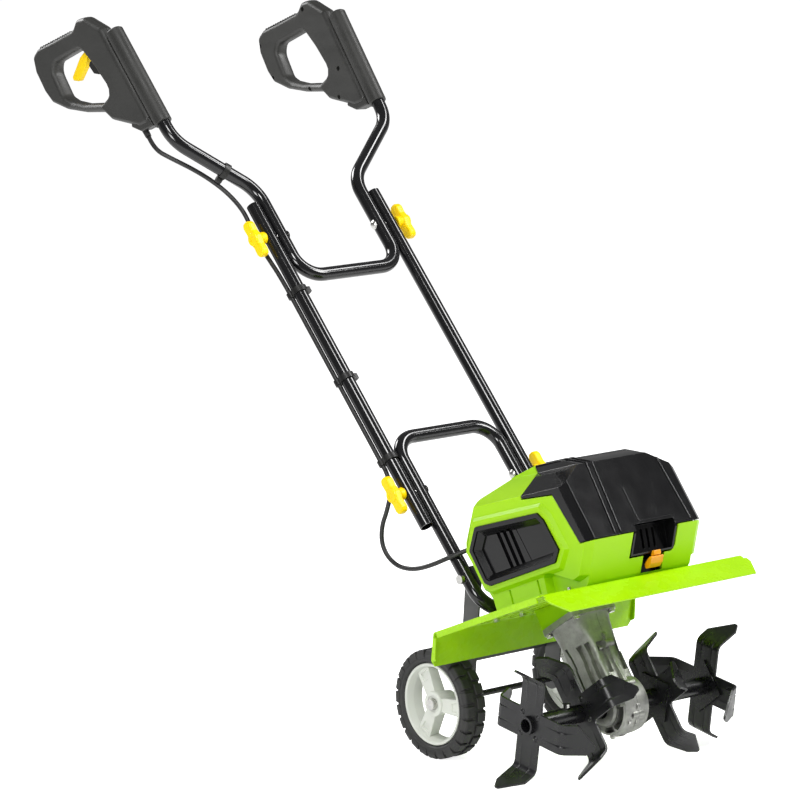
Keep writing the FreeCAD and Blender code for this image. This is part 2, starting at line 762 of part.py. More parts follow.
def bevel_cut(body, inset):
    """Slope both upper sides, rising towards the rear."""
    tilt = new_sketch(body, "XZ_Plane", -BEVEL_Y, -BEVEL_TILT)
    out = d.shell_half.value + 30
    low = BEVEL_LOW - inset
    high = BEVEL_HIGH - inset
    edge = d.shell_half.value - 3
    for side in (-1, 1):
        outline(tilt, [(side * (edge + 3), low - 1.8), (side * BEVEL_TOP_X, high),
                       (side * BEVEL_TOP_X, high + 9), (side * BEVEL_TOP_X * 0.6, high + 80),
                       (side * out, high + 80), (side * out, low - 1.8)])
    pocket(body, tilt, 900.0, symmetric=True)


def grown(corners, amount):
    """The outline moved outwards from its middle."""
    mid_u = sum(u for u, v in corners) / len(corners)
    mid_v = sum(v for u, v in corners) / len(corners)
    result = []
    for u, v in corners:
        reach = math.hypot(u - mid_u, v - mid_v)
        scale = (reach + amount) / reach
        result.append((mid_u + (u - mid_u) * scale, mid_v + (v - mid_v) * scale))
    return result


def make_housing_base():
    """The lower housing: side walls with raised vent surrounds, front notch and slots."""
    body = new_body("housing_outside")
    side_view = new_sketch(body, "YZ_Plane")
    outline(side_view, SIDE_OUTLINE)
    pad(body, side_view, d.shell_half * 2, symmetric=True)
    bevel_cut(body, 0.0)
    for side in (-1, 1):
        boss = new_sketch(body, "YZ_Plane", d.shell_half * side)
        outline(boss, grown(VENT_OUTLINE, 13))
        pad(body, boss, d.vent_stand, reverse=side < 0)
        window = new_sketch(body, "YZ_Plane", d.shell_half * side)
        outline(window, VENT_OUTLINE)
        pocket(body, window, 30.0, symmetric=True)
    notch = new_sketch(body, "XZ_Plane", 250.0)
    centre = d.feature_shift - 3.0
    outline(notch, block(centre - 48.0, 29.0, centre + 45.0, 104.0))
    pocket(body, notch, 70.0, reverse=True)
    latch_gap = new_sketch(body, "XZ_Plane", 240.0)
    outline(latch_gap, block(d.feature_shift - 20.0, 8.0, d.feature_shift + 20.0, 30.0))
    pocket(body, latch_gap, 40.0, reverse=True)
    for y in SLOT_Y:
        slots = new_sketch(body, "YZ_Plane")
        outline(slots, block(y - 2.0, 6.0, y + 2.0, 34.0))
        pocket(body, slots, d.shell_half * 4, symmetric=True)
    curl = new_sketch(body, "YZ_Plane")
    circle(curl, HINGE_Y, HINGE_Z, HINGE_SWEEP)
    pocket(body, curl, d.shell_half * 4, symmetric=True)
    hollowed("housing_base", body, cavity_body("housing_inside", SIDE_CAVITY, 4.5))


SLOT_Y = [-62.0, -196.0]


def make_battery_cover():
    """The black lid over the battery bay, with a finger recess and a grille in front."""
    body = new_body("cover_outside")
    side_view = new_sketch(body, "YZ_Plane")
    outline(side_view, COVER_OUTLINE)
    pad(body, side_view, d.shell_half * 2, symmetric=True)
    bevel_cut(body, 0.0)
    centre = d.feature_shift - 3.0
    lobe = new_sketch(body, "YZ_Plane", centre - 1.5)
    outline(lobe, [(-299, 70), (-299, 62), (-277.5, 30.5), (-258, 30.5), (-258, 70)])
    pad(body, lobe, 90.0, symmetric=True)
    recess = new_sketch(body, "YZ_Plane", centre - 1.5)
    outline(recess, [(-310, 74), (-310, 33), (-268, 33), (-268, 74)])
    pocket(body, recess, 84.0, symmetric=True)
    behind = new_sketch(body, "YZ_Plane", centre - 1.5)
    outline(behind, [(-265, 80), (-265, 33), (-250, 33), (-250, 80)])
    pocket(body, behind, 84.0, symmetric=True)
    slots = new_sketch(body, "XZ_Plane", 240.0)
    for step in (-1, 0, 1):
        middle = centre + (4.0 + 12.0 * step)
        outline(slots, block(middle - 2.0, 42.0, middle + 2.0, 68.0))
    pocket(body, slots, 40.0, reverse=True)
    curl = new_sketch(body, "YZ_Plane")
    circle(curl, HINGE_Y, HINGE_Z, HINGE_RADIUS + HOLE_PLAY)
    pocket(body, curl, HINGE_LENGTH + 0.4, symmetric=True)
    hollowed("battery_cover", body, cavity_body("cover_inside", COVER_CAVITY, 4.5))


def make_side_vents():
    """A black grille panel in each side, with an octagonal rim and three slots."""
    panel = solid_prism(grown(VENT_OUTLINE, -0.4), 116, 129)
    inner = solid_prism(grown(VENT_OUTLINE, -12), 119, 131)
    panel = panel.cut(inner)
    for step in range(3):
        y = -82.0 - 13.0 * step
        slot = solid_prism([(y, 62), (y + 6, 62), (y + 12, 122), (y + 6, 122)], 110, 125)
        panel = panel.cut(slot)
    line = solid_prism([(-128, 60), (-127, 60), (-123, 124), (-124, 124)], 118.4, 125)
    panel = panel.cut(line)
    feature("side_vents", both_sides(panel), DECK)


def make_cover_hinge():
    """The steel pin that the battery cover turns on."""
    body = new_body("cover_hinge_pin")
    section = new_sketch(body, "YZ_Plane")
    circle(section, HINGE_Y, HINGE_Z, HINGE_RADIUS)
    pad(body, section, HINGE_LENGTH, symmetric=True)
    stand(body, DECK)


LATCH_PIN = (-262.0, 13.0)


def make_latch():
    """The yellow catch that swings out from the foot of the front notch."""
    body = new_body("latch")
    lever = new_sketch(body, "YZ_Plane", d.feature_shift)
    outline(lever, [(-261, 10.5), (-266, 8.5), (-276, 16), (-286, 32), (-284, 34),
                    (-277.5, 28.5), (-268, 28.5), (-261, 16)])
    pad(body, lever, 33.0, symmetric=True)
    knuckle = new_sketch(body, "YZ_Plane", d.feature_shift)
    circle(knuckle, LATCH_PIN[0], LATCH_PIN[1], 4.0)
    pad(body, knuckle, 33.0, symmetric=True)
    stand(body, DECK)


# ---------------------------------------------------------------- motor, battery, electronics


MOTOR_LOW = 244.0
MOTOR_HIGH = 306.0
CAN_WALL = 2.5
CAN_LID = 3.0
ROTOR_GAP = 2.0
SHAFT_PLAY = 0.06
MOTOR_SHAFT = 6.0


def make_motor():
    """The motor can, and the rotor inside it."""
    y = d.worm_offset.value
    radius = d.motor_radius.value
    can = rod((0, y, MOTOR_LOW), (0, y, MOTOR_HIGH), radius)
    can = can.cut(rod((0, y, MOTOR_LOW + CAN_LID), (0, y, MOTOR_HIGH - CAN_LID), radius - CAN_WALL))
    can = can.cut(rod((0, y, MOTOR_LOW - 1), (0, y, MOTOR_HIGH + 1), MOTOR_SHAFT + SHAFT_PLAY))
    feature("motor_body", can, LEG)
    body = new_body("motor_rotor")
    coil = new_sketch(body, "XY_Plane", MOTOR_LOW + 10)
    circle(coil, 0, d.worm_offset, d.motor_radius - CAN_WALL - ROTOR_GAP)
    circle(coil, 0, d.worm_offset, MOTOR_SHAFT)
    pad(body, coil, MOTOR_HIGH - MOTOR_LOW - 20)
    stand(body, LEG)


def make_batteries():
    """Two slide-in battery packs, side by side behind the cover."""
    pack = solid_prism([(-254, 76), (-238, 134), (-194, 140), (-194, 76)], 6, 84)
    rail = solid_box((20, -246, 68), (70, -194, 76.1))
    feature("battery_packs", both_sides(pack.fuse(rail).removeSplitter()), DECK)


def make_controller():
    """The electronics box on the deck, ahead of the motor."""
    body = new_body("controller")
    base = new_sketch(body, "XY_Plane", 2.0)
    outline(base, block(-46, -246, 46, -190))
    pad(body, base, 24.0)
    stand(body, DECK)


# ---------------------------------------------------------------- gear leg


GEAR_SCREWS = [(-38, 20), (-24, -36), (22, -42), (48, -8), (48, 56), (-26, 88), (54, 112)]


def gear_leg():
    """The whole casting before it is split down the middle."""
    length = d.leg_length.value
    centre = 8.0
    edge = d.flange_half.value
    bulb = rod((-30, 0, 0), (30, 0, 0), 46)
    chamber = rod((-38, 0, 0), (38, 0, 0), 30)
    shank = solid_prism([(-30, 10), (-26, 110), (52, 116), (46, -12), (20, -30)], -26, 26)
    neck = Part.makeCone(33, 45, 50, Vector(0, centre + 4, length - 60), Z_AXIS)
    flange = solid_box((-edge, centre - edge, length - 10), (edge, centre + edge, length))
    ribs = []
    for y in (-14, 6, 26):
        ribs.append(solid_box((-30, y - 1.5, 36), (30, y + 1.5, length - 9)))
    bosses = [rod((-20, y, z), (20, y, z), 7) for y, z in GEAR_SCREWS]
    casting = bulb.fuse([chamber, shank, neck, flange] + ribs + bosses)
    worm_y = d.worm_offset.value
    hollow = [rod((-15, 0, 0), (15, 0, 0), 22),
              rod((0, worm_y, -24), (0, worm_y, length + 1), 8.0),
              rod((0, worm_y, length - 12), (0, worm_y, length + 1), 20),
              rod((-40, 0, 0), (40, 0, 0), d.shaft_radius.value + 0.5),
              rod((-27, 0, 0), (27, 0, 0), 16.0),
              rod((-39, 0, 0), (-31, 0, 0), 16.0),
              rod((31, 0, 0), (39, 0, 0), 16.0)]
    casting = casting.cut(hollow)
    for y, z in GEAR_SCREWS:
        casting = casting.cut(rod((-21, y, z), (-14, y, z), 4.6))
        casting = casting.cut(rod((-15, y, z), (10, y, z), 2.6))
    return casting


def make_gearbox():
    """Two die-cast halves, their screws, the spacer, and the bushes and seals."""
    casting = gear_leg()
    for name, low, high in (("gearbox_left", -90, 0), ("gearbox_right", 0, 90)):
        half = casting.common(solid_box((low, -90, -90), (high, 120, 220)))
        feature(name, half.removeSplitter(), LEG)
    screws = []
    for y, z in GEAR_SCREWS:
        screws.append(rod((-18, y, z), (-14, y, z), 4.2).fuse(rod((-14.1, y, z), (9, y, z), 2.5)))
    feature("gearbox_screws", Part.makeCompound(screws), LEG)
    length = d.leg_length.value
    edge = d.flange_half.value - 4
    spacer = solid_box((-edge, 8 - edge, length + 0.1), (edge, 8 + edge, length + 70))
    above = seen_from(solid_box((-300, -400, -1.3), (300, 200, 300)), DECK, LEG)
    spacer = spacer.cut(above)
    worm_y = d.worm_offset.value
    spacer = spacer.cut(rod((0, worm_y, length - 5), (0, worm_y, length + 80), 22))
    feature("gearbox_spacer", spacer.removeSplitter(), LEG)
    bore = d.shaft_radius.value + 0.05
    bush = rod((16, 0, 0), (26.9, 0, 0), 15.95).cut(rod((15, 0, 0), (28, 0, 0), bore))
    feature("shaft_bearings", both_sides(bush), LEG)
    seal = rod((31.2, 0, 0), (37.5, 0, 0), 15.9).cut(rod((30, 0, 0), (39, 0, 0), bore))
    feature("shaft_seals", both_sides(seal), LEG)


def make_worm():
    """The motor shaft, with the worm at its lower end."""
    body = new_body("worm_shaft")
    profile = new_sketch(body, "YZ_Plane")
    axis_y = d.worm_offset
    outline(profile, [(axis_y, -20), (axis_y + 5.0, -20), (axis_y + 5.0, -15),
                      (axis_y + d.worm_radius, -15), (axis_y + d.worm_radius, 15),
                      (axis_y + 6.0, 15), (axis_y + 6.0, MOTOR_HIGH + 3),
                      (axis_y, MOTOR_HIGH + 3)])
    centre_line = profile.addGeometry(Part.LineSegment(
        Vector(axis_y.value, -20, 0), Vector(axis_y.value, 20, 0)), True)
    fix(profile, "DistanceX", centre_line, 1, axis_y)
    fix(profile, "DistanceX", centre_line, 2, axis_y)
    revolve(body, profile, "Axis0")
    stand(body, LEG)


def make_worm_wheel():
    """The bronze wheel on the tine shaft, just clear of the worm."""
    teeth = 20
    tip = d.worm_offset.value - d.worm_radius.value - 0.35
    root = tip - 3.0
    points = []
    for n in range(teeth):
        start = 2 * math.pi * n / teeth
        for part, radius in ((0.0, root), (0.25, root), (0.4, tip), (0.75, tip), (0.9, root)):
            a = start + part * 2 * math.pi / teeth
            points.append(Vector(-9, radius * math.cos(a), radius * math.sin(a)))
    wheel = Part.Face(Part.makePolygon(points + points[:1])).extrude(Vector(18, 0, 0))
    wheel = wheel.cut(rod((-10, 0, 0), (10, 0, 0), d.shaft_radius.value))
    feature("worm_wheel", wheel, LEG)


# ---------------------------------------------------------------- tines


def make_tine_shaft():
    """The driven shaft through the gear leg."""
    body = new_body("tine_shaft")
    section = new_sketch(body, "YZ_Plane")
    circle(section, 0, 0, d.shaft_radius)
    pad(body, section, 236.0, symmetric=True)
    cross = new_sketch(body, "XY_Plane")
    for side in (-1, 1):
        circle(cross, side * HUB_BOLT_X, 0, d.bolt_radius)
    pocket(body, cross, 60.0, symmetric=True)
    stand(body, SHAFT)


HUB_START = 42.0
HUB_PLATE = 31.0
DRIVE_START = 120.0


def make_hub_tubes():
    """The tubes that carry the stars, each pinned to the shaft, with its square plates."""
    end = d.star_outer.value + 9
    tube = rod((HUB_START, 0, 0), (end, 0, 0), d.hub_tube_radius)
    bore = rod((HUB_START - 1, 0, 0), (end + 1, 0, 0), d.shaft_radius.value + 0.02)
    for x, turn in ((star_face(d.star_inner, -1), INNER_TURN),
                    (star_face(d.star_outer, -1), OUTER_TURN)):
        plate = solid_box((x - 4, -HUB_PLATE, -HUB_PLATE), (x, HUB_PLATE, HUB_PLATE))
        plate.rotate(Vector(), X_AXIS, turn + 45)
        tube = tube.fuse(plate)
    mouth = rod((DRIVE_START, 0, 0), (end + 1, 0, 0), d.drive_bore)
    tube = tube.cut([bore, mouth])
    for x, turn in ((star_face(d.star_inner, -1), INNER_TURN),
                    (star_face(d.star_outer, -1), OUTER_TURN)):
        for hole in rivet_rods(x - 5, x + 1, turn):
            tube = tube.cut(hole)
    cross = rod((HUB_BOLT_X, 0, -30), (HUB_BOLT_X, 0, 30), 4.0)
    tube = tube.cut(cross)
    feature("hub_tubes", both_sides(tube), SHAFT)


HUB_BOLT_X = 108.0
OUTER_TURN = 10.0
INNER_TURN = 55.0
RIVET_REACH = 24.0


def star_face(middle, side):
    """The face of a star's blades, nearer the leg when side is -1."""
    return middle.value + side * d.blade_gauge.value / 2


def rivet_rods(x0, x1, turn, radius=3.0):
    """Four rivets round the hub, between the blades' roots."""
    rods = []
    for quarter in range(4):
        angle = math.radians(turn + 45 + 90 * quarter)
        y, z = RIVET_REACH * math.cos(angle), RIVET_REACH * math.sin(angle)
        rods.append(rod((x0, y, z), (x1, y, z), radius))
    return rods


def blade(tip_way, side):
    """One blade pointing up, its chamfered tip bent towards +X or -X, with a sideways reach."""
    gauge = d.blade_gauge.value
    half = d.blade_width.value / 2
    bend = d.blade_bend.value
    flat = solid_box((-gauge / 2, -half, 0), (gauge / 2, half, bend))
    out = d.tip_out.value
    length = math.hypot(side, out)
    tilt = math.degrees(math.atan2(side, out))
    corner = 15.0
    outline_points = [(-half, -gauge / 2), (half, -gauge / 2), (half, length - corner),
                      (half - corner * 1.3, length), (-half + corner * 0.7, length),
                      (-half, length - corner * 0.6)]
    points = [Vector(-gauge / 2, y, z) for y, z in outline_points]
    tip = Part.Face(Part.makePolygon(points + points[:1])).extrude(Vector(gauge, 0, 0))
    elbow = rod((0, -half, 0), (0, half, 0), gauge / 2)
    tip = tip.fuse(elbow)
    tip.rotate(Vector(), Y_AXIS, tilt * tip_way)
    tip.translate(Vector(0, 0, bend))
    solid = flat.fuse(tip)
    for y in (-11.0, 11.0):
        solid = solid.cut(solid_box((gauge / 2 - 0.7, y - 1.2, 30), (gauge, y + 1.2, bend - 6)))
        solid = solid.cut(solid_box((-gauge, y - 1.2, 30), (-gauge / 2 + 0.7, y + 1.2, bend - 6)))
    return solid


def make_star(name, side, middle, turn, first_way):
    """Four blades round the hub tube, with tips bent to alternate sides."""
    blades = []
    for quarter in range(4):
        way = first_way if quarter % 2 == 0 else -first_way
        short = way < 0 and middle.value < d.star_outer.value
        reach = d.tip_inward.value if short else d.tip_side.value
        one = blade(way * side, reach)
        one.rotate(Vector(), X_AXIS, 90 * quarter)
        blades.append(one)
    star = blades[0].fuse(blades[1:])
    star = star.cut(rod((-5, 0, 0), (5, 0, 0), d.hub_tube_radius.value))
    star.rotate(Vector(), X_AXIS, turn)
    for hole in rivet_rods(-5, 5, turn):
        star = star.cut(hole)
    star.translate(Vector(side * middle.value, 0, 0))
    feature(name, star.removeSplitter(), SHAFT)


def make_tines():
    make_tine_shaft()
    make_hub_tubes()
    make_star("tine_star_outer_left", -1, d.star_outer, OUTER_TURN, 1)
    make_star("tine_star_inner_left", -1, d.star_inner, INNER_TURN, -1)
    make_star("tine_star_inner_right", 1, d.star_inner, INNER_TURN, -1)
    make_star("tine_star_outer_right", 1, d.star_outer, OUTER_TURN, 1)
    rivets = []
    gauge = d.blade_gauge.value
    for middle, turn in ((d.star_inner, INNER_TURN), (d.star_outer, OUTER_TURN)):
        outer_face = star_face(middle, 1)
        for pin in rivet_rods(outer_face - gauge - 4, outer_face, turn):
            head = pin.BoundBox
            y, z = (head.YMin + head.YMax) / 2, (head.ZMin + head.ZMax) / 2
            front = dome(outer_face, y, z, 5.0, 2.6, 1)
            back = dome(outer_face - gauge - 4, y, z, 5.0, 2.6, -1)
            rivet = pin.fuse([front, back])
            rivets += [rivet, mirrored(rivet)]
    feature("tine_rivets", Part.makeCompound(rivets), SHAFT)
    bolt = rod((HUB_BOLT_X, 0, -22), (HUB_BOLT_X, 0, 20), 3.95)
    head = rod((HUB_BOLT_X, 0, 15), (HUB_BOLT_X, 0, 20), 6.5)
    nut = rod((HUB_BOLT_X, 0, -22), (HUB_BOLT_X, 0, -15), 6.5)
    feature("hub_bolts", both_sides(bolt.fuse([head, nut])), SHAFT)


# ---------------------------------------------------------------- grips

SLEEVE_START = (228.2, -15.0, 742.8)
SLEEVE_LEAN_X = 2.97
SLEEVE_LEAN_Y = 2.73
GRIP_OUTER = [(12, 10), (44, 22), (60, 38), (103, 74), (112, 95), (160, 124), (205, 158),
              (234, 190), (239, 215), (236, 255), (222, 281), (196, 283), (140, 266), (80, 249),
              (58, 256), (38, 246), (12, 205)]
GRIP_INNER = [(90, 208), (172, 230), (184, 222), (188, 180), (178, 166), (150, 143),
              (102, 115), (72, 114), (80, 170)]


class GripFrame:
    """The frame of one grip: Z along its sleeve, Y back towards the operator."""

    def __init__(self, side):
        x, y, z = SLEEVE_START
        turn = Rotation(Y_AXIS, side * SLEEVE_LEAN_Y) * Rotation(X_AXIS, SLEEVE_LEAN_X)
        local = Placement(Vector(side * x, y, z), turn)
        self.placement = MAST.placement * local


def grip_shell(way, has_heads):
    """One half of the hollow moulding, from the middle plane out to +X or -X."""
    face = way * d.grip_half.value
    loop = solid_prism(GRIP_OUTER, 0, face).cut(solid_prism(GRIP_INNER, -way, face + way))
    rim = [Vector(-way, y, z) for y, z in GRIP_OUTER]
    hole = [Vector(-way, y, z) for y, z in GRIP_INNER]
    outer = Part.Face(Part.makePolygon(rim + rim[:1])).makeOffset2D(-GRIP_WALL, 2)
    inner = Part.Face(Part.makePolygon(hole + hole[:1])).makeOffset2D(GRIP_WALL, 2)
    hollow = outer.cut(inner).extrude(Vector(face - way * GRIP_WALL + way, 0, 0))
    bosses = [rod((0, y, z), (face, y, z), 4.5).common(loop) for y, z in GRIP_SCREWS]
    sleeve = rod((0, 0, 0), (0, 0, d.sleeve_length), d.sleeve_radius)
    sleeve = sleeve.common(solid_box((min(0, 30 * way), -20, -1), (max(0, 30 * way), 20, 200)))
    shell = loop.cut(hollow).fuse(bosses + [sleeve])
    bore = rod((0, 0, -1), (0, 0, d.sleeve_length + 0.1), d.handle_radius.value + 0.1)
    shell = shell.cut(bore)
    for y, z in GRIP_SCREWS:
        if has_heads:
            shell = shell.cut(rod((way * 10, y, z), (way * 15, y, z), 3.6))
            shell = shell.cut(rod((way * -1, y, z), (way * 12, y, z), 1.8))
        else:
            shell = shell.cut(rod((way * 8, y, z), (way * -1, y, z), 1.8))
    return shell


GRIP_WALL = 3.0
GRIP_SCREWS = [(60, 240), (222, 262), (226, 196), (140, 120), (70, 60), (40, 100)]


def make_grip(name, side):
    """Two plastic shells screwed together round the end of the handle."""
    frame = GripFrame(side)
    for part, way in (("outer", side), ("inner", -side)):
        shell = grip_shell(way, part == "inner")
        if side < 0:
            shell = shell.cut(solid_prism(TRIGGER_POCKET, -7, 7))
            shell = shell.cut(solid_prism(LEVER_POCKET, -7, 7))
            shell = shell.cut(solid_prism(SWITCH_POCKET, -8, 8))
            for y, z in (TRIGGER_PIVOT, LEVER_PIVOT):
                shell = shell.cut(rod((-9, y, z), (9, y, z), 2.05))
            shell = shell.cut(rod((0, GLAND_AT[0], GLAND_AT[1]), (0, 40, 60), 6.6))
        feature("grip_%s_%s" % (name, part), shell.removeSplitter(), frame)


TRIGGER_PIVOT = (84.0, 201.0)
TRIGGER_POCKET = [(74, 190), (90.5, 186), (92, 215), (74, 212)]
LEVER_PIVOT = (73.0, 160.0)
LEVER_POCKET = [(66, 152), (84, 152), (84, 186), (66, 186)]
SWITCH_POCKET = [(36, 150), (65, 150), (70, 210), (36, 210)]
GLAND_AT = (48.0, 24.0)


def make_trigger():
    """The yellow squeeze trigger under the top bar of the left grip."""
    shape = solid_prism([(80, 197), (98, 186), (131, 179), (142, 188), (140, 194),
                         (100, 206), (84, 206), (80, 205)], -6, 6)
    pin = rod((-8.6, TRIGGER_PIVOT[0], TRIGGER_PIVOT[1]),
              (8.6, TRIGGER_PIVOT[0], TRIGGER_PIVOT[1]), 2.0)
    feature("trigger", shape.fuse(pin).removeSplitter(), GripFrame(-1))


def make_lock_lever():
    """The black paddle on the web of the left grip that unlocks the trigger."""
    shape = solid_prism([(68, 155), (78, 155), (88, 164), (90, 182), (84, 184.5), (68, 184)],
                        -6, 6)
    pin = rod((-8.6, LEVER_PIVOT[0], LEVER_PIVOT[1]), (8.6, LEVER_PIVOT[0], LEVER_PIVOT[1]), 2.0)
    feature("lock_lever", shape.fuse(pin).removeSplitter(), GripFrame(-1))


def make_switch():
    """The micro switch inside the left grip."""
    shape = solid_prism([(38, 154), (63, 154), (66, 204), (38, 204)], -7, 7)
    feature("switch_box", shape, GripFrame(-1))


def make_grip_screws():
    """Self-tapping screws, sunk in the inward face of each grip."""
    screws = []
    for side in (-1, 1):
        frame = GripFrame(side)
        for y, z in GRIP_SCREWS:
            head = rod((side * -10, y, z), (side * -12.5, y, z), 3.3)
            screw = head.fuse(rod((side * 7, y, z), (side * -10.1, y, z), 1.7))
            copy = screw.copy()
            turn = MAST.placement.inverse() * frame.placement
            copy.transformShape(turn.toMatrix(), True)
            screws.append(copy)
    feature("grip_screws", Part.makeCompound(screws), MAST)


# ---------------------------------------------------------------- cable

CABLE_SIDE = -138.2
CABLE_BACK = 11.2


def grip_point(y, z):
    """A point of the left grip's frame, in the handle's frame."""
    place = GripFrame(-1).placement.multVec(Vector(0, y, z))
    return MAST.placement.inverse().multVec(place)


def cord_radii(points):
    """The largest tangent arc at each corner that leaves the runs some straight."""
    points = [Vector(*[float(a) for a in point]) for point in points]
    radii = []
    for a, b, c in zip(points, points[1:], points[2:]):
        turn = (b - a).getAngle(c - b)
        shorter = min((b - a).Length, (c - b).Length)
        radii.append(0.45 * shorter / math.tan(turn / 2))
    return radii


def make_cord(name, points):
    """A length of cable, with its bends printed for checking."""
    radii = cord_radii(points)
    pieces = rounded_path(points, radii)
    tube = swept(pieces, d.cable_radius)
    length = path_wire(pieces).Length
    expected = math.pi * d.cable_radius.value ** 2 * length
    print("%s: length %.0f, tightest radius %.0f, volume ratio %.3f"
          % (name, length, min(radii), tube.Volume / expected))
    feature(name, tube, MAST)


LOOP_POINTS = [(CABLE_SIDE, CABLE_BACK, 52), (-139, 13, 34), (-140, 27, 15), (-141, 50, 1),
               (-142, 76, -10), (-142.5, 95, -29), (-142.5, 99, -54), (-141, 89, -81),
               (-138, 63, -104), (-133, 32, -118), (-124, 4, -126), (-112, -18, -131),
               (-98, -31.5, -134)]


def make_cables():
    """The switch cable: down the left tube in clips, then a free loop to the housing."""
    gland = grip_point(*GLAND_AT)
    upper = [(gland.x, gland.y, gland.z - 18), (-234, 29.3, 723.2), (-217.5, 19.9, 694.4),
             (-194.4, 15.5, 669.3), (-166, 19.0, 645.6), (-147, 17.5, 614), (-139.5, 13.0, 574),
             (-139.2, 16.5, 540), (-139.2, 17.5, 507), (-139.2, 15.0, 474), (CABLE_SIDE, 12.0, 442),
             (CABLE_SIDE, CABLE_BACK, 408)]
    make_cord("cable_upper", upper)
    middle = [(CABLE_SIDE, CABLE_BACK, 407.6), (CABLE_SIDE, CABLE_BACK, 52)]
    straight = rod(middle[0], middle[1], d.cable_radius)
    feature("cable_middle", straight, MAST)
    make_cord("cable_loop", LOOP_POINTS)


CLIP_Z = [398.0, 224.0, 66.0]
CLIP_WALL = 2.6
CLIP_HALF = 5.0


def clip_at(z, tabbed):
    """A snap ring round the left tube and the cable behind it, with a square latch tab."""
    x = -d.outer_tube.value
    low, high = z - CLIP_HALF, z + CLIP_HALF
    tube = d.handle_radius.value
    cable = d.cable_radius.value
    ring = rod((x, 0, low), (x, 0, high), tube + CLIP_WALL)
    saddle = rod((CABLE_SIDE, CABLE_BACK, low), (CABLE_SIDE, CABLE_BACK, high), cable + 2.4)
    clip = ring.fuse(saddle)
    if tabbed:
        clip = clip.fuse(solid_box((x + tube, -4, low), (x + tube + 10, 4, high)))
    else:
        flat = x + tube + 0.4
        clip = clip.cut(solid_box((flat, -30, low - 1), (flat + 30, 30, high + 1)))
    clip = clip.cut(rod((x, 0, low - 1), (x, 0, high + 1), tube + 0.1))
    bore = rod((CABLE_SIDE, CABLE_BACK, low - 1), (CABLE_SIDE, CABLE_BACK, high + 1), cable + 0.1)
    return clip.cut(bore)


def make_clips():
    """Three clips; the lowest is flat inside, to pass the frame."""
    clips = [clip_at(z, z > d.frame_head.value) for z in CLIP_Z]
    feature("cable_clips", Part.makeCompound(clips), MAST)


def make_upper_clip():
    """The clip half way along the S bend."""
    low, high = [Vector(-x, y, z) for x, y, z in UPPER_BENDS[:2]]
    run = (high - low).normalize()
    centre = low + run * 62
    clip = rod(centre - run * 5, centre + run * 5, d.handle_radius.value + 2.6)
    clip = clip.fuse(rod(centre - run * 5 + Vector(-8, 13, -6), centre + run * 5 + Vector(-8, 13, -6),
                         d.cable_radius.value + 2.4))
    clip = clip.cut(rod(centre - run * 8, centre + run * 8, d.handle_radius.value + 0.1))
    feature("upper_clip", clip.removeSplitter(), MAST)


def make_glands():
    """Ribbed sleeves where the cable leaves the grip and enters the housing."""
    start = grip_point(*GLAND_AT)
    end = Vector(start.x, start.y, start.z - 18)
    axis = end - start
    gland = Part.makeCone(5.6, 5.0, axis.Length, start, axis)
    feature("grip_gland", gland, MAST)
    inner, outer = Vector(*LOOP_POINTS[-1]), Vector(*LOOP_POINTS[-2])
    axis = (inner - outer).normalize()
    sleeve = Part.makeCone(5.0, 7.0, 12, inner, axis)
    feature("housing_gland", sleeve, MAST)


# ---------------------------------------------------------------- build everything

make_lower_frame()
make_middle_tubes()
make_upper_handle()
make_handle_bolts()
make_wing_knob("knob_lower_left", -1, 0)
make_wing_knob("knob_lower_right", 1, 0)
make_wing_knob("knob_upper_left", -1, d.upper_pivot)
make_wing_knob("knob_upper_right", 1, d.upper_pivot)
make_fender()
make_deck_bolts()
make_frame_clamps()
make_wheel_bracket()
make_axle()
make_axle_nuts()
make_wheel("left", -1)
make_wheel("right", 1)
make_housing_base()
make_battery_cover()
make_side_vents()
make_cover_hinge()
make_latch()
make_motor()
make_batteries()
make_controller()
make_gearbox()
make_worm()
make_worm_wheel()
make_tines()
make_grip("left", -1)
make_grip("right", 1)
make_trigger()
make_lock_lever()
make_switch()
make_grip_screws()
make_cables()
make_clips()
make_upper_clip()
make_glands()

doc.recompute()

# ---------------------------------------------------------------- check and write

for item in doc.Objects:
    if "Invalid" in item.State or "Error" in item.State:
        raise RuntimeError("%s failed: %s" % (item.Name, item.State))

os.makedirs("parts", exist_ok=True)
for item in parts:
    shape = item.Shape
    if shape.isNull() or not shape.isValid():
        raise RuntimeError(item.Label + " has no valid shape")
    shape.exportStep("parts/%s.step" % item.Label)
print("%d parts written" % len(parts))
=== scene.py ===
import json
import math

import bmesh
import bpy
from mathutils import Matrix, Vector


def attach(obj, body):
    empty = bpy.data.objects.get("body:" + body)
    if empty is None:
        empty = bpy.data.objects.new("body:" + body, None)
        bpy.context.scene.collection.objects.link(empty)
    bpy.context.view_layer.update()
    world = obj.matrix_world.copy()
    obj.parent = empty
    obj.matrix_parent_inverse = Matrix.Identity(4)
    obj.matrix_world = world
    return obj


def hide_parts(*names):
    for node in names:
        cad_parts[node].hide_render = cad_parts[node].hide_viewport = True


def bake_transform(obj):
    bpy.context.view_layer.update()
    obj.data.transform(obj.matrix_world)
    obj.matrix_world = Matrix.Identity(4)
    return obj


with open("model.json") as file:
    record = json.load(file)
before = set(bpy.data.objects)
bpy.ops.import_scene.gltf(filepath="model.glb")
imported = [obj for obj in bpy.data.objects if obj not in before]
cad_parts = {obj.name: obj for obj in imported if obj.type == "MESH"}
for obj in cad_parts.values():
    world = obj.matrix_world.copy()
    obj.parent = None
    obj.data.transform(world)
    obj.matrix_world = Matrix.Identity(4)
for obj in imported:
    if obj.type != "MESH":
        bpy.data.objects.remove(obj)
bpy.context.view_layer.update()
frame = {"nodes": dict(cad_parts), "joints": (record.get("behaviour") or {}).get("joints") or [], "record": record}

MM = 0.001
X_AXIS = Vector((1, 0, 0))
MIRROR = Matrix.Scale(-1, 4, X_AXIS)

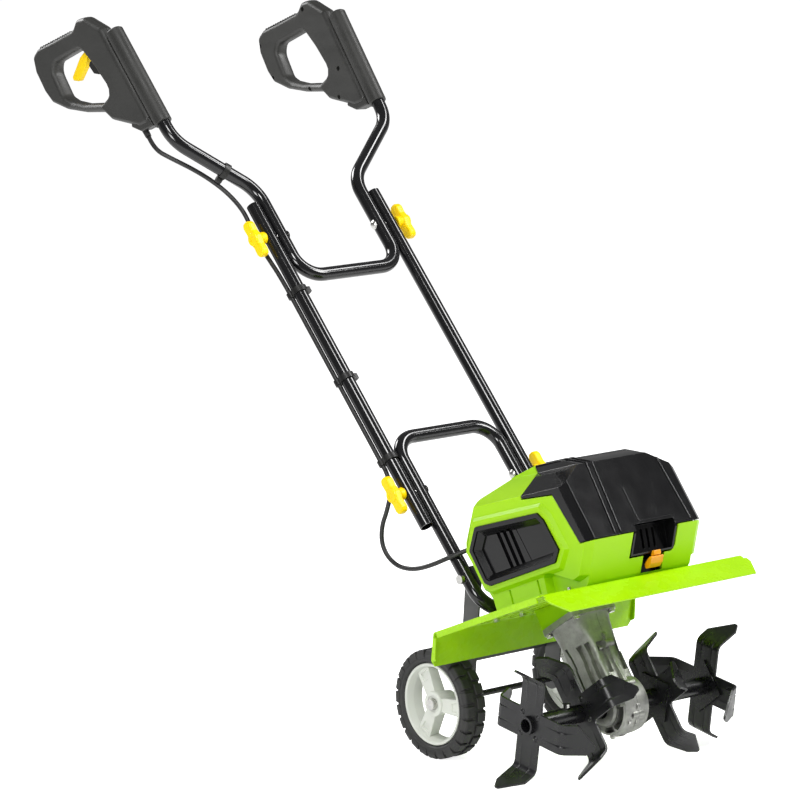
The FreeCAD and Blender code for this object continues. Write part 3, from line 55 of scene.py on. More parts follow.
# ------------------------------------------------------------------ frames of the machine


def joint(name):
    """The frame's entry for a joint."""
    return next(item for item in frame["joints"] if item["name"] == name)


def pivot(name):
    """The point that a joint turns about, in world metres."""
    return Vector(joint(name)["pos_m"])


def leaning(origin, lean):
    """A frame in millimetres at a point, leaning back by an angle about X."""
    turn = Matrix.Rotation(-lean, 4, "X")
    return Matrix.Translation(origin) @ turn @ Matrix.Scale(MM, 4)


def middle_of(name):
    """The point of a joint's axis on the middle plane of the machine."""
    spot = pivot(name)
    return Vector((0, spot.y, spot.z))


SHAFT_AT = pivot("tine_spin")
MAST_AT = middle_of("mast_fold")
MAST_RUN = pivot("upper_fold") - pivot("mast_fold")
MAST_LEAN = math.atan2(MAST_RUN.y, MAST_RUN.z)
UPPER_PIVOT = MAST_RUN.length / MM
WORM_AXIS = Vector(joint("worm_spin")["axis"])
DECK_FROM_SHAFT = Vector((0, 0.187, 0.120))
DECK_PITCH = math.radians(20.5)
AXLE_AT = middle_of("wheel_left_spin")

SHAFT = leaning(SHAFT_AT, 0)
AXLE = leaning(AXLE_AT, 0)
DECK = leaning(SHAFT_AT + DECK_FROM_SHAFT, DECK_PITCH)
LEG = leaning(SHAFT_AT, math.atan2(WORM_AXIS.y, WORM_AXIS.z))
MAST = leaning(MAST_AT, MAST_LEAN)
SLEEVE_START = Vector((228.2, -15.0, 742.8))
SLEEVE_LEAN_X = math.radians(2.97)
SLEEVE_LEAN_Y = math.radians(2.73)


def grip_frame(side):
    """The frame of a grip: Z along its sleeve, Y back towards the operator."""
    start = Vector((side * SLEEVE_START.x, SLEEVE_START.y, SLEEVE_START.z))
    turn = Matrix.Rotation(side * SLEEVE_LEAN_Y, 4, "Y") @ Matrix.Rotation(SLEEVE_LEAN_X, 4, "X")
    return MAST @ Matrix.Translation(start) @ turn


# ------------------------------------------------------------------ materials


PLASTIC_COAT_ROUGHNESS = 0.12
PAINT_COAT_ROUGHNESS = 0.08
PEEL_SCALE = 900.0
DRIFT_DEPTH = 0.04
RUBBER_GRAIN_SCALE = 1400.0
RUBBER_GRAIN_DEPTH = 0.05


class Shader:
    """A node material under construction."""

    def __init__(self, name):
        self.material = bpy.data.materials.new(name)
        self.material.use_nodes = True
        self.tree = self.material.node_tree
        self.surface = self.tree.nodes["Principled BSDF"]
        self.place = self.node("ShaderNodeTexCoord").outputs["Object"]

    def node(self, kind, **settings):
        made = self.tree.nodes.new(kind)
        for key, value in settings.items():
            setattr(made, key, value)
        return made

    def join(self, start, end):
        self.tree.links.new(start, end)

    def noise(self, scale, detail=4.0, rough=0.55, stretch=None):
        """Noise at so many cycles a metre."""
        made = self.node("ShaderNodeTexNoise")
        made.inputs["Scale"].default_value = scale
        made.inputs["Detail"].default_value = detail
        made.inputs["Roughness"].default_value = rough
        place = self.place
        if stretch:
            mapping = self.node("ShaderNodeMapping")
            mapping.inputs["Scale"].default_value = stretch
            self.join(place, mapping.inputs["Vector"])
            place = mapping.outputs["Vector"]
        self.join(place, made.inputs["Vector"])
        return made.outputs["Fac"]

    def ramp(self, value, low, high, from_low=0.3, from_high=0.7):
        """A number that goes from low to high with the value."""
        made = self.node("ShaderNodeMapRange")
        made.inputs["From Min"].default_value = from_low
        made.inputs["From Max"].default_value = from_high
        made.inputs["To Min"].default_value = low
        made.inputs["To Max"].default_value = high
        self.join(value, made.inputs["Value"])
        return made.outputs["Result"]

    def blend(self, value, first, second):
        """A colour between two, by the value."""
        made = self.node("ShaderNodeMix", data_type="RGBA")
        self.join(value, made.inputs["Factor"])
        for socket, colour in ((made.inputs["A"], first), (made.inputs["B"], second)):
            if isinstance(colour, tuple):
                socket.default_value = (*colour, 1)
            else:
                self.join(colour, socket)
        return made.outputs["Result"]

    def bump(self, *layers):
        """Relief from (value, depth in millimetres) layers."""
        last = None
        for value, depth in layers:
            made = self.node("ShaderNodeBump")
            made.inputs["Strength"].default_value = 1.0
            made.inputs["Distance"].default_value = depth * MM
            self.join(value, made.inputs["Height"])
            if last:
                self.join(last, made.inputs["Normal"])
            last = made.outputs["Normal"]
        self.join(last, self.surface.inputs["Normal"])

    def set(self, **values):
        """Plain values for the surface's inputs, named in lower case."""
        for key, value in values.items():
            socket = self.surface.inputs[key.replace("_", " ").title().replace("Ior", "IOR")]
            if isinstance(value, tuple):
                value = (*value, 1)
            socket.default_value = value


def plastic(name, base, shade, rough, grain, depth, coat=0.0, shine=0.5):
    """Moulded plastic: slight colour drift, a fine grain, and faint rubbing marks."""
    made = Shader(name)
    drift = made.noise(9.0, 3.0)
    colour = made.blend(made.ramp(drift, 0.0, 1.0), base, shade)
    made.join(colour, made.surface.inputs["Base Color"])
    rubbed = made.noise(40.0, 2.0, 0.5, (1.0, 0.25, 1.0))
    made.join(made.ramp(rubbed, rough * 0.85, rough * 1.2), made.surface.inputs["Roughness"])
    fine = made.noise(grain, 2.0, 0.6)
    made.bump((fine, depth), (drift, DRIFT_DEPTH))
    made.set(coat_weight=coat, coat_roughness=PLASTIC_COAT_ROUGHNESS, specular_ior_level=shine)
    return made.material


def paint(name, base, shade, rough, peel, coat=0.0, shine=0.5):
    """Sprayed or powder coated metal: orange peel under a clear, slightly uneven gloss."""
    made = Shader(name)
    drift = made.noise(14.0, 4.0)
    colour = made.blend(made.ramp(drift, 0.0, 1.0), base, shade)
    worn = made.noise(50.0, 2.0, 0.5)
    made.join(colour, made.surface.inputs["Base Color"])
    made.join(made.ramp(worn, rough * 0.8, rough * 1.3), made.surface.inputs["Roughness"])
    skin = made.noise(PEEL_SCALE, 1.0, 0.4)
    made.bump((skin, peel), (drift, DRIFT_DEPTH))
    made.set(coat_weight=coat, coat_roughness=PAINT_COAT_ROUGHNESS, specular_ior_level=shine)
    return made.material


def bare_metal(name, base, shade, rough, scale, depth, metal=1.0):
    """Cast or plated metal with mottled tone and pitted skin."""
    made = Shader(name)
    mottle = made.noise(scale, 6.0, 0.65)
    colour = made.blend(made.ramp(mottle, 0.0, 1.0), base, shade)
    made.join(colour, made.surface.inputs["Base Color"])
    made.join(made.ramp(mottle, rough * 0.75, rough * 1.3), made.surface.inputs["Roughness"])
    skin = made.noise(scale * 9, 3.0, 0.6)
    made.bump((skin, depth), (mottle, depth * 2))
    made.set(metallic=metal)
    return made.material


def rubber(name, base, dust, rough):
    """Rubber with a light bloom of dust."""
    made = Shader(name)
    cloud = made.noise(40.0, 6.0, 0.6)
    colour = made.blend(made.ramp(cloud, 0.0, 1.0, 0.45, 0.8), base, dust)
    made.join(colour, made.surface.inputs["Base Color"])
    made.join(made.ramp(cloud, rough * 0.85, rough * 1.1), made.surface.inputs["Roughness"])
    made.bump((made.noise(RUBBER_GRAIN_SCALE, 2.0), RUBBER_GRAIN_DEPTH))
    return made.material


LIME = (0.34, 0.635, 0.0)
LIME_SHADE = (0.30, 0.58, 0.0)
NEAR_BLACK = (0.004, 0.004, 0.0045)
FINE_GRAIN = 1500.0
MATERIALS = {
    "green_plastic": plastic("lime_plastic", LIME, LIME_SHADE, 0.34, FINE_GRAIN, 0.003,
                             shine=0.25),
    "green_paint": paint("lime_paint", LIME, LIME_SHADE, 0.26, 0.003, shine=0.3),
    "black_tube": paint("black_gloss_paint", NEAR_BLACK, (0.007, 0.007, 0.008), 0.13, 0.002,
                        coat=0.25, shine=0.4),
    "black_sheet": paint("black_paint", (0.006, 0.006, 0.007), (0.01, 0.01, 0.011), 0.26,
                         0.003, shine=0.4),
    "tine_paint": paint("tine_paint", (0.007, 0.007, 0.008), (0.010, 0.010, 0.011), 0.3,
                        0.003, shine=0.4),
    "grey_steel": paint("grey_paint", (0.045, 0.045, 0.046), (0.06, 0.06, 0.06), 0.42, 0.04,
                        coat=0.1),
    "black_plastic": plastic("black_plastic", (0.008, 0.008, 0.008), (0.013, 0.013, 0.012),
                             0.4, 1200.0, 0.02, shine=0.3),
    "gloss_black": plastic("gloss_black_plastic", (0.003, 0.003, 0.0035), (0.005, 0.005, 0.0055),
                           0.12, 300.0, 0.0005, coat=0.1, shine=0.25),
    "grip_plastic": plastic("grip_plastic", (0.018, 0.018, 0.0165), (0.026, 0.026, 0.024),
                            0.46, 2200.0, 0.05),
    "yellow_plastic": plastic("yellow_plastic", (0.93, 0.66, 0.0), (0.86, 0.58, 0.0),
                              0.34, FINE_GRAIN, 0.02, shine=0.25),
    "latch_plastic": plastic("latch_plastic", (0.86, 0.36, 0.003), (0.78, 0.3, 0.002),
                             0.32, FINE_GRAIN, 0.02, coat=0.2),
    "rim_plastic": plastic("rim_plastic", (0.66, 0.68, 0.62), (0.58, 0.60, 0.55),
                           0.42, FINE_GRAIN, 0.02, coat=0.1),
    "zinc": bare_metal("zinc_plate", (0.62, 0.61, 0.58), (0.5, 0.5, 0.49), 0.28, 120.0, 0.02),
    "bronze": bare_metal("bronze", (0.62, 0.40, 0.16), (0.5, 0.33, 0.12), 0.32, 120.0, 0.02),
    "cast_aluminium": bare_metal("cast_aluminium", (0.36, 0.36, 0.34), (0.25, 0.25, 0.24),
                                 0.46, 90.0, 0.12, 0.75),
    "tyre_rubber": rubber("tyre_rubber", (0.018, 0.018, 0.018), (0.035, 0.034, 0.032), 0.62),
    "cable_rubber": rubber("cable_sheath", (0.012, 0.012, 0.012), (0.02, 0.02, 0.02), 0.48),
}

# ------------------------------------------------------------------ mesh tools


def new_object(name, data):
    """An object in the scene."""
    made = bpy.data.objects.new(name, data)
    bpy.context.scene.collection.objects.link(made)
    return made


def from_bmesh(bm):
    """A work piece, in the millimetres of its own frame."""
    bmesh.ops.recalc_face_normals(bm, faces=bm.faces)
    mesh = bpy.data.meshes.new("work")
    bm.to_mesh(mesh)
    bm.free()
    return new_object("work", mesh)


def loft(rings):
    """A closed solid through rings of equally many points."""
    bm = bmesh.new()
    rows = [[bm.verts.new(point) for point in ring] for ring in rings]
    count = len(rows[0])
    for low, high in zip(rows, rows[1:]):
        for n in range(count):
            bm.faces.new((low[n], low[(n + 1) % count], high[(n + 1) % count], high[n]))
    bm.faces.new(rows[0][::-1])
    bm.faces.new(rows[-1])
    return from_bmesh(bm)


def slab(outline, low, high):
    """A (y, z) outline run along X."""
    return loft([[(low, y, z) for y, z in outline], [(high, y, z) for y, z in outline]])


def column(outline, low, high):
    """An (x, y) outline run along Z."""
    return loft([[(x, y, low) for x, y in outline], [(x, y, high) for x, y in outline]])


def drawer(outline, low, high):
    """An (x, z) outline run along Y."""
    return loft([[(x, low, z) for x, z in outline], [(x, high, z) for x, z in outline]])


def brick(low, high):
    """A box between two corners."""
    (x0, y0, z0), (x1, y1, z1) = low, high
    return slab([(y0, z0), (y1, z0), (y1, z1), (y0, z1)], x0, x1)


def arc_points(centre, radius, start, end, steps):
    """Points on an arc, angles in degrees."""
    angles = [math.radians(start + (end - start) * n / steps) for n in range(steps + 1)]
    return [(centre[0] + radius * math.cos(a), centre[1] + radius * math.sin(a)) for a in angles]


def rounded(corners, radii, steps=5):
    """The polygon with an arc at every corner that has a radius."""
    count = len(corners)
    if not isinstance(radii, (list, tuple)):
        radii = [radii] * count
    points = []
    for n, (corner, radius) in enumerate(zip(corners, radii)):
        here = Vector(corner)
        before = Vector(corners[n - 1]) - here
        after = Vector(corners[(n + 1) % count]) - here
        if radius <= 0:
            points.append(tuple(here))
            continue
        half = before.angle(after) / 2
        reach = min(radius / math.tan(half), 0.45 * min(before.length, after.length))
        radius = reach * math.tan(half)
        inward = (before.normalized() + after.normalized()).normalized()
        centre = here + inward * radius / math.sin(half)
        start = here + before.normalized() * reach - centre
        end = here + after.normalized() * reach - centre
        turn = start.angle_signed(end)
        for step in range(steps + 1):
            angle = -turn * step / steps
            c, s = math.cos(angle), math.sin(angle)
            spoke = Vector((start.x * c - start.y * s, start.x * s + start.y * c))
            points.append(tuple(centre + spoke))
    return points


def grown(corners, amount):
    """The outline with every side moved out by a distance."""
    count = len(corners)
    area = sum(corners[n - 1][0] * corners[n][1] - corners[n][0] * corners[n - 1][1]
               for n in range(count))
    way = 1 if area > 0 else -1
    result = []
    for n in range(count):
        here = Vector(corners[n])
        first = (here - Vector(corners[n - 1])).normalized()
        second = (Vector(corners[(n + 1) % count]) - here).normalized()
        normal = (Vector((first.y, -first.x)) + Vector((second.y, -second.x))).normalized() * way
        stretch = 1 / max(0.3, normal.dot(Vector((first.y, -first.x)) * way))
        result.append(tuple(here + normal * amount * stretch))
    return result


def settle(item):
    """Apply the work piece's modifiers."""
    graph = bpy.context.evaluated_depsgraph_get()
    mesh = bpy.data.meshes.new_from_object(item.evaluated_get(graph))
    item.modifiers.clear()
    item.data = mesh
    return item


def combine(item, tools, operation):
    """Join tools to a work piece, or cut them from it; the tools are used up."""
    for tool in tools:
        change = item.modifiers.new("shape", "BOOLEAN")
        change.operation = operation
        change.solver = "EXACT"
        change.object = tool
        settle(item)
        bpy.data.objects.remove(tool)
    return item


def cut(item, *tools):
    return combine(item, tools, "DIFFERENCE")


def join(item, *tools):
    return combine(item, tools, "UNION")


def soften(item, width, segments=3, angle=28):
    """Round every edge sharper than the angle."""
    change = item.modifiers.new("edges", "BEVEL")
    change.width = width
    change.segments = segments
    change.limit_method = "ANGLE"
    change.angle_limit = math.radians(angle)
    change.use_clamp_overlap = True
    change.miter_outer = "MITER_ARC"
    return settle(item)


def gather(items):
    """Several work pieces as one mesh of separate closed shells."""
    bm = bmesh.new()
    for item in items:
        bm.from_mesh(item.data)
        bpy.data.objects.remove(item)
    mesh = bpy.data.meshes.new("work")
    bm.to_mesh(mesh)
    bm.free()
    return new_object("work", mesh)


def place(item, matrix):
    """Move a work piece's mesh by a matrix."""
    item.data.transform(matrix)
    if matrix.determinant() < 0:
        item.data.flip_normals()
    return item


def shade_smooth(mesh):
    for face in mesh.polygons:
        face.use_smooth = True


def finish(item, name, frame_matrix, body, material, replaced=(), angle=32):
    """Put a work piece in the machine as a smooth shaded piece."""
    place(item, frame_matrix)
    item.name = name
    item.data.name = name
    item.data.materials.clear()
    item.data.materials.append(MATERIALS[material])
    shade_smooth(item.data)
    item.data.set_sharp_from_angle(angle=math.radians(angle))
    smooth = item.modifiers.new("normals", "WEIGHTED_NORMAL")
    smooth.keep_sharp = True
    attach(item, body)
    if replaced:
        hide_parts(*replaced)
    return item


def spun_rows(bm, profile, segments):
    """The (x, radius) points of a profile at every step of a turn about X."""
    rows = []
    for n in range(segments):
        a = 2 * math.pi * n / segments
        rows.append([bm.verts.new((x, r * math.cos(a), r * math.sin(a))) for x, r in profile])
    return rows


def lathe(profile, segments=64):
    """A closed (x, radius) outline turned about X."""
    bm = bmesh.new()
    rows = spun_rows(bm, profile, segments)
    count = len(profile)
    for n in range(segments):
        low, high = rows[n], rows[(n + 1) % segments]
        for k in range(count):
            bm.faces.new((low[k], low[(k + 1) % count], high[(k + 1) % count], high[k]))
    return from_bmesh(bm)


def turned(profile, segments=48):
    """An (x, radius) outline that starts and ends on the X axis, turned about it."""
    bm = bmesh.new()
    first = bm.verts.new((profile[0][0], 0, 0))
    last = bm.verts.new((profile[-1][0], 0, 0))
    rows = spun_rows(bm, profile[1:-1], segments)
    for n in range(segments):
        low, high = rows[n], rows[(n + 1) % segments]
        bm.faces.new((first, low[0], high[0]))
        bm.faces.new((last, high[-1], low[-1]))
        for k in range(len(profile) - 3):
            bm.faces.new((low[k], low[k + 1], high[k + 1], high[k]))
    return from_bmesh(bm)


def bar(start, end, radius, segments=32):
    """A round bar between two points."""
    start, end = Vector(start), Vector(end)
    run = end - start
    item = turned([(0, 0), (0, radius), (run.length, radius), (run.length, 0)], segments)
    turn = X_AXIS.rotation_difference(run.normalized()).to_matrix().to_4x4()
    return place(item, Matrix.Translation(start) @ turn)


# ------------------------------------------------------------------ housing and cover

SHELL_HALF = 121.0
SIDE_OUTLINE = [(-253, 1.2), (-260, 6), (-301, 64.5), (-288, 64.5), (-254, 149), (-174.5, 159),
                (-166, 208.5), (-110, 204), (-60, 186), (-13, 127), (-7, 112), (-42, 28),
                (-52, 1.2)]
COVER_OUTLINE = [(-302, 66), (-265, 187), (-225, 203), (-167.5, 209), (-176, 160.5),
                 (-255.5, 150.5), (-289.5, 66)]
VENT_OUTLINE = [(-60, 144), (-210, 131), (-221, 117), (-238, 66), (-222, 49), (-60, 49),
                (-49, 56), (-33, 112), (-55, 138)]
SIDE_CAVITY = [(-250, -1), (-257, 8), (-297, 68), (-283, 68), (-249, 155), (-172, 165),
               (-162.5, 204.8), (-111, 200.6), (-62, 183), (-16.5, 125.5), (-10.5, 112),
               (-45, 29), (-55, -1)]
COVER_CAVITY = [(-298.6, 65), (-262.3, 184.4), (-224, 199.8), (-181, 203.9), (-181, 150),
                (-250, 140), (-284, 65)]
CAVITY_HALF = 116.5
SHOULDER_WALL = 4.5
SHOULDER = [(121, 156.2), (70, 187), (70, 196), (42, 267), (160, 267), (160, 156.2)]
SHOULDER_PITCH = math.radians(5)
SHOULDER_AT = (0, -268, 0)
NOTCH_MIDDLE = 21.0
NOTCH_FOOT = 28.5
NOTCH_TOP = 104
END_SETBACK = 13
FRONT_ZONE = -240
REAR_ZONE = -100
DECK_ZONE = 20
FRONT_INSET = 10
REAR_INSET = 9
VENT_SLOPE = 5.5
SLOT_PLACES = (-94, -163)
STRIPS = [(-55, 0.10), (-43, 0.10), (86, -0.06)]
STRIP_WIDTH = 3.0
STRIP_FOLD = 187
LOBE_SIDES = (-25.5, 64.5)
RECESS_SIDES = (-21.5, 60.5)
CHEEK_PLACES = (-25.3, 60.7)
CHEEK_WIDTH = 3.6
PANEL_SIDES = (-9, 64)
PANEL_HEIGHTS = (80, 138)
ROLL_SIDES = (11, 37)
TAB_SIDES = (17, 31)
LINK_SIDES = (19, 29)


def shoulder_cutter(side, drop=0.0):
    """What lies above a sloping upper side of the housing, or above its inner face."""
    wedge = drawer([(side * (x - drop), z - drop) for x, z in SHOULDER], -200, 420)
    place(wedge, Matrix.Translation(SHOULDER_AT) @ Matrix.Rotation(SHOULDER_PITCH, 4, "X"))
    return wedge


def side_ring(outline, x, front_inset, rear_inset):
    """The outline at one X, with its front and rear pulled in."""
    ring = []
    for y, z in outline:
        if y < FRONT_ZONE:
            y += front_inset
        if y > REAR_ZONE and z > DECK_ZONE:
            y -= rear_inset
        ring.append((x, y, z))
    return ring


def housing_block(outline, front_inset, rear_inset, half=SHELL_HALF):
    """The outline across the machine, with its ends slimmer than its middle."""
    near = half - END_SETBACK
    return loft([side_ring(outline, -half, front_inset, rear_inset),
                 side_ring(outline, -near, 0, 0), side_ring(outline, near, 0, 0),
                 side_ring(outline, half, front_inset, rear_inset)])


def hollow(outline, rear_inset):
    """The space inside a shell, under its sloping shoulders."""
    space = housing_block(outline, FRONT_INSET, rear_inset, CAVITY_HALF)
    return cut(space, *both(shoulder_cutter, SHOULDER_WALL))


def both(shape, *values):
    """The same work piece on the +X side and on the -X side."""
    return [shape(1, *values), shape(-1, *values)]


def vent_boss(side):
    """The raised surround of a vent, with sloping sides."""
    low = [(side * (SHELL_HALF - 2), y, z) for y, z in grown(VENT_OUTLINE, 16)]
    high = [(side * (SHELL_HALF + VENT_SLOPE), y, z) for y, z in grown(VENT_OUTLINE, 8.5)]
    return loft([low, high])


def vent_window(side):
    return slab(VENT_OUTLINE, side * 100, side * 140)


def scoop(side):
    """The hollow under the front corner of the housing's side."""
    edge = [(-300, 23), (-268, 22), (-243, 17), (-189, 42), (-178, 34), (-176, -6), (-300, -6)]
    low = [(side * (SHELL_HALF - 14), y, z) for y, z in grown(edge, -5)]
    high = [(side * (SHELL_HALF + 3), y, z) for y, z in edge]
    return loft([low, high])


def side_brick(side, reach, y_range, z_range):
    """A box on one side of the machine, over a reach of distances from its middle."""
    near, far = sorted(side * x for x in reach)
    return brick((near, y_range[0], z_range[0]), (far, y_range[1], z_range[1]))


def scoop_guard(side):
    """The corner that the inner space leaves solid behind a scoop."""
    return side_brick(side, (102, 130), (-310, -168), (-10, 46))


def side_slot(side, y):
    """A short upright slot low in the housing's side."""
    return side_brick(side, (SHELL_HALF - 4, SHELL_HALF + 4), (y - 2, y + 2), (12, 34))


def make_housing():
    """The green lower housing, with vent surrounds, scoops, slots and the front notch."""
    base = housing_block(SIDE_OUTLINE, FRONT_INSET, REAR_INSET)
    cut(base, *both(shoulder_cutter))
    join(base, *both(vent_boss))
    cut(base, *both(vent_window), *both(scoop))
    for y in SLOT_PLACES:
        cut(base, *both(side_slot, y))
    left, right = NOTCH_MIDDLE - 49, NOTCH_MIDDLE + 46
    notch = [(left, NOTCH_TOP), (left, NOTCH_FOOT), (right - 6, NOTCH_FOOT), (right, 36),
             (right, NOTCH_TOP)]
    catch_gap = brick((2, -320, 5), (46, -252, 29))
    cut(base, drawer(notch, -320, -246), catch_gap)
    soften(base, 2.4, 3, 24)
    cut(base, cut(hollow(SIDE_CAVITY, REAR_INSET), *both(scoop_guard)))
    return finish(base, "housing_shell", DECK, "chassis", "green_plastic", ["housing_base"])


def front_band(outward, inward, x, width):
    """A strip that follows the front and the top of the cover."""
    path = [(-301, 69), (-265, 187), (-225, 203), (-176, 208.2)]
    outer, inner = [], []
    for n, (y, z) in enumerate(path):
        before = Vector(path[max(n - 1, 0)])
        after = Vector(path[min(n + 1, len(path) - 1)])
        run = (after - before).normalized()
        normal = Vector((-run.y, run.x))
        outer.append((y + normal.x * outward, z + normal.y * outward))
        inner.append((y - normal.x * inward, z - normal.y * inward))
    return slab(outer + inner[::-1], x, x + width)


def slanted(item, lean):
    """Lean a strip sideways below the shoulder of the cover."""
    for point in item.data.vertices:
        if point.co.z < STRIP_FOLD:
            point.co.x += (point.co.z - STRIP_FOLD) * lean
    return item


def make_cover():
    """The black battery cover: folds, sloping shoulders, ribs, and the finger recess."""
    cover = housing_block(COVER_OUTLINE, FRONT_INSET, 0)
    lobe = slab([(-299, 70), (-299, 62), (-277.5, 30.5), (-258, 30.5), (-262, 82)], *LOBE_SIDES)
    join(cover, lobe)
    cut(cover, *both(shoulder_cutter))
    recess = slab([(-312, 76), (-312, 33.5), (-270, 33.5), (-276, 76)], *RECESS_SIDES)
    cut(cover, recess)
    for n in range(3):
        x = NOTCH_MIDDLE - 12 + 12 * n
        cut(cover, brick((x, -280, 40), (x + 4, -250, 70)))
    soften(cover, 2.2, 3, 20)
    cut(cover, hollow(COVER_CAVITY, 0))
    strips = []
    for x, lean in STRIPS:
        strip = slanted(front_band(1.8, 3, x, STRIP_WIDTH), lean)
        strips.append(soften(cut(strip, *both(shoulder_cutter)), 1.0, 3))
    cheek = [(-298, 62), (-295, 80), (-264, 80), (-264, 62)]
    cheeks = [slab(cheek, x, x + CHEEK_WIDTH) for x in CHEEK_PLACES]
    whole = gather([cover] + strips + cheeks)
    finish(front_plate(), "front_panel", DECK, "cover", "gloss_black")
    return finish(whole, "battery_lid", DECK, "cover", "gloss_black", ["battery_cover"])


def front_plate():
    """The plain raised panel in the middle of the cover's front, with no mark on it."""
    foot, head = Vector((-301, 69)), Vector((-265, 187))
    run = (head - foot).normalized()
    normal = Vector((-run.y, run.x))

    def at(z, out):
        spot = foot + run * ((z - foot.y) / run.y) + normal * out
        return spot.x, spot.y

    low, high = PANEL_HEIGHTS
    outline = [at(low, 1.2), at(high, 1.2), at(high, -2), at(low, -2)]
    return soften(slab(outline, *PANEL_SIDES), 1.0, 3)


def make_vents():
    """The black grilles in the housing's sides, with a deep chamfered rim."""
    panels = []
    for side in (1, -1):
        ring = slab(rounded(grown(VENT_OUTLINE, -0.5), 4, 4), side * 112, side * 129.5)
        mouth = loft([[(side * x, y, z) for y, z in grown(VENT_OUTLINE, -grow)]
                      for x, grow in ((131, 7), (127, 8), (119, 17), (117, 17.5))])
        cut(ring, mouth)
        for n in range(3):
            y = -93 - 14.5 * n
            slot = [(y, 125), (y - 8, 125), (y - 21, 65), (y - 13, 65)]
            cut(ring, slab(slot, side * 113, side * 122))
        cut(ring, slab([(-139.5, 122), (-141, 122), (-159, 65), (-157.5, 65)],
                       side * 116.2, side * 122))
        soften(ring, 1.0, 2, 25)
        panels.append(ring)
    finish(gather(panels), "vent_panels", DECK, "chassis", "gloss_black", ["side_vents"])


def make_latch():
    """The yellow catch: a roll below, a small tab above it, and the link between them."""
    roll = slab(rounded([(-262, 9.5), (-268, 8.8), (-277, 14), (-284, 24), (-279, 25.5),
                         (-270, 22), (-262, 17)], 2.5), *ROLL_SIDES)
    tab = slab(rounded([(-275, 24), (-284.5, 26), (-286, 32.5), (-281, 33.5), (-276, 28)], 1.6),
               *TAB_SIDES)
    link = slab([(-270, 17), (-277, 18), (-281, 29), (-277, 29)], *LINK_SIDES)
    whole = gather([soften(roll, 1.2), soften(tab, 0.9), soften(link, 0.8)])
    finish(whole, "latch_catch", DECK, "latch_body", "latch_plastic", ["latch"])


# ------------------------------------------------------------------ wing knobs


KNOB_FACE = 139.25
KNOB_END = 164.9
KNOB_NECK = 150
WING = [(-8.5, -13), (-9.5, -26), (-6, -33.5), (6, -33.5), (9.5, -26), (8.5, -13), (12, 0)]
WING_RADII = [4, 6, 6, 6, 6, 4, 6]
INSERT_RADIUS = 4.9
INSERT_BORE = 1.6
KNOBS = [("knob_lower_left", "knob_a", -1, 0), ("knob_lower_right", "knob_b", 1, 0),
         ("knob_upper_left", "knob_c", -1, UPPER_PIVOT),
         ("knob_upper_right", "knob_d", 1, UPPER_PIVOT)]


def make_knob(name, body, side, z):
    """A clamping knob: a waisted two-wing bar on a round collar, with a metal insert."""
    face, end = KNOB_FACE, KNOB_END
    wings = [(y, v + z) for y, v in WING] + [(-y, z - v) for y, v in WING]
    handle = slab(rounded(wings, WING_RADII * 2, 4), side * KNOB_NECK, side * (end - 1))
    soften(handle, 3.2, 4, 30)
    collar = lathe([(side * face, 5), (side * face, 9.5), (side * (face + 3), 10.5),
                    (side * (KNOB_NECK - 1), 9.2), (side * (KNOB_NECK + 2), 11.2),
                    (side * end, 11.0), (side * end, 5)], 48)
    place(collar, Matrix.Translation((0, 0, z)))
    soften(collar, 0.7, 3, 20)
    finish(gather([handle, collar]), name + "_body", MAST, body, "yellow_plastic", [name])
    near, far = side * KNOB_NECK, side * (end - 1.2)
    insert = lathe([(near, INSERT_BORE), (near, INSERT_RADIUS), (far, INSERT_RADIUS),
                    (far, INSERT_BORE)], 32)
    place(insert, Matrix.Translation((0, 0, z)))
    finish(soften(insert, 0.4, 2), name + "_insert", MAST, body, "zinc")


# ------------------------------------------------------------------ grips

GRIP_OUTER = [(12, 10), (44, 22), (60, 38), (103, 74), (112, 95), (160, 124), (205, 158),
              (234, 190), (239, 215), (236, 255), (222, 281), (196, 283), (140, 266), (80, 249),
              (58, 256), (38, 246), (12, 205)]
GRIP_INNER = [(90, 208), (172, 230), (184, 222), (188, 180), (178, 166), (150, 143),
              (102, 115), (72, 114), (80, 170)]
GRIP_SCREWS = [(60, 240), (222, 262), (226, 196), (140, 120), (70, 60), (40, 100)]
GRIP_HALF = 14.0
GRIP_ROUNDING = [(0, 8.5), (1.2, 4.8), (3.6, 2.0), (7.5, 0.4)]
GRIP_RIBS = 13
GRIP_TUBE_HOLE = 11.4
SEAM_HALF = 0.45
LOOP_START = 60.0
LOOP_SHRINK = 0.86
SLEEVE_RADIUS = 15.0
SLEEVE_LENGTH = 187.0


def grip_ring(outline, way):
    """A closed loop whose edges are round: the outline drawn in towards both faces."""
    near = [(-GRIP_HALF + depth, inset) for depth, inset in GRIP_ROUNDING]
    far = [(-x, inset) for x, inset in near[::-1]]
    return loft([[(x, y, z) for y, z in grown(outline, -way * inset)]
                 for x, inset in near + [(0, 0)] + far])


def drawn_in(y):
    """The loops are a little shorter than their casings' outline."""
    return y if y < LOOP_START else LOOP_START + (y - LOOP_START) * LOOP_SHRINK


def grip_ribs():
    """Rounded ribs across the back of the upper bar."""
    start, end = Vector((94, 250.0)), Vector((190, 278.5))
    ribs = []
    for n in range(GRIP_RIBS):
        y, z = start.lerp(end, n / (GRIP_RIBS - 1))
        left, right = (-8, y, z), (8, y, z)
        ribs.append(bar((-10.5, y - 0.9, z - 3.2), left, 2.0, 12))
        ribs.append(bar(left, right, 2.2, 16))
        ribs.append(bar(right, (10.5, y - 0.9, z - 3.2), 2.0, 12))
    return ribs


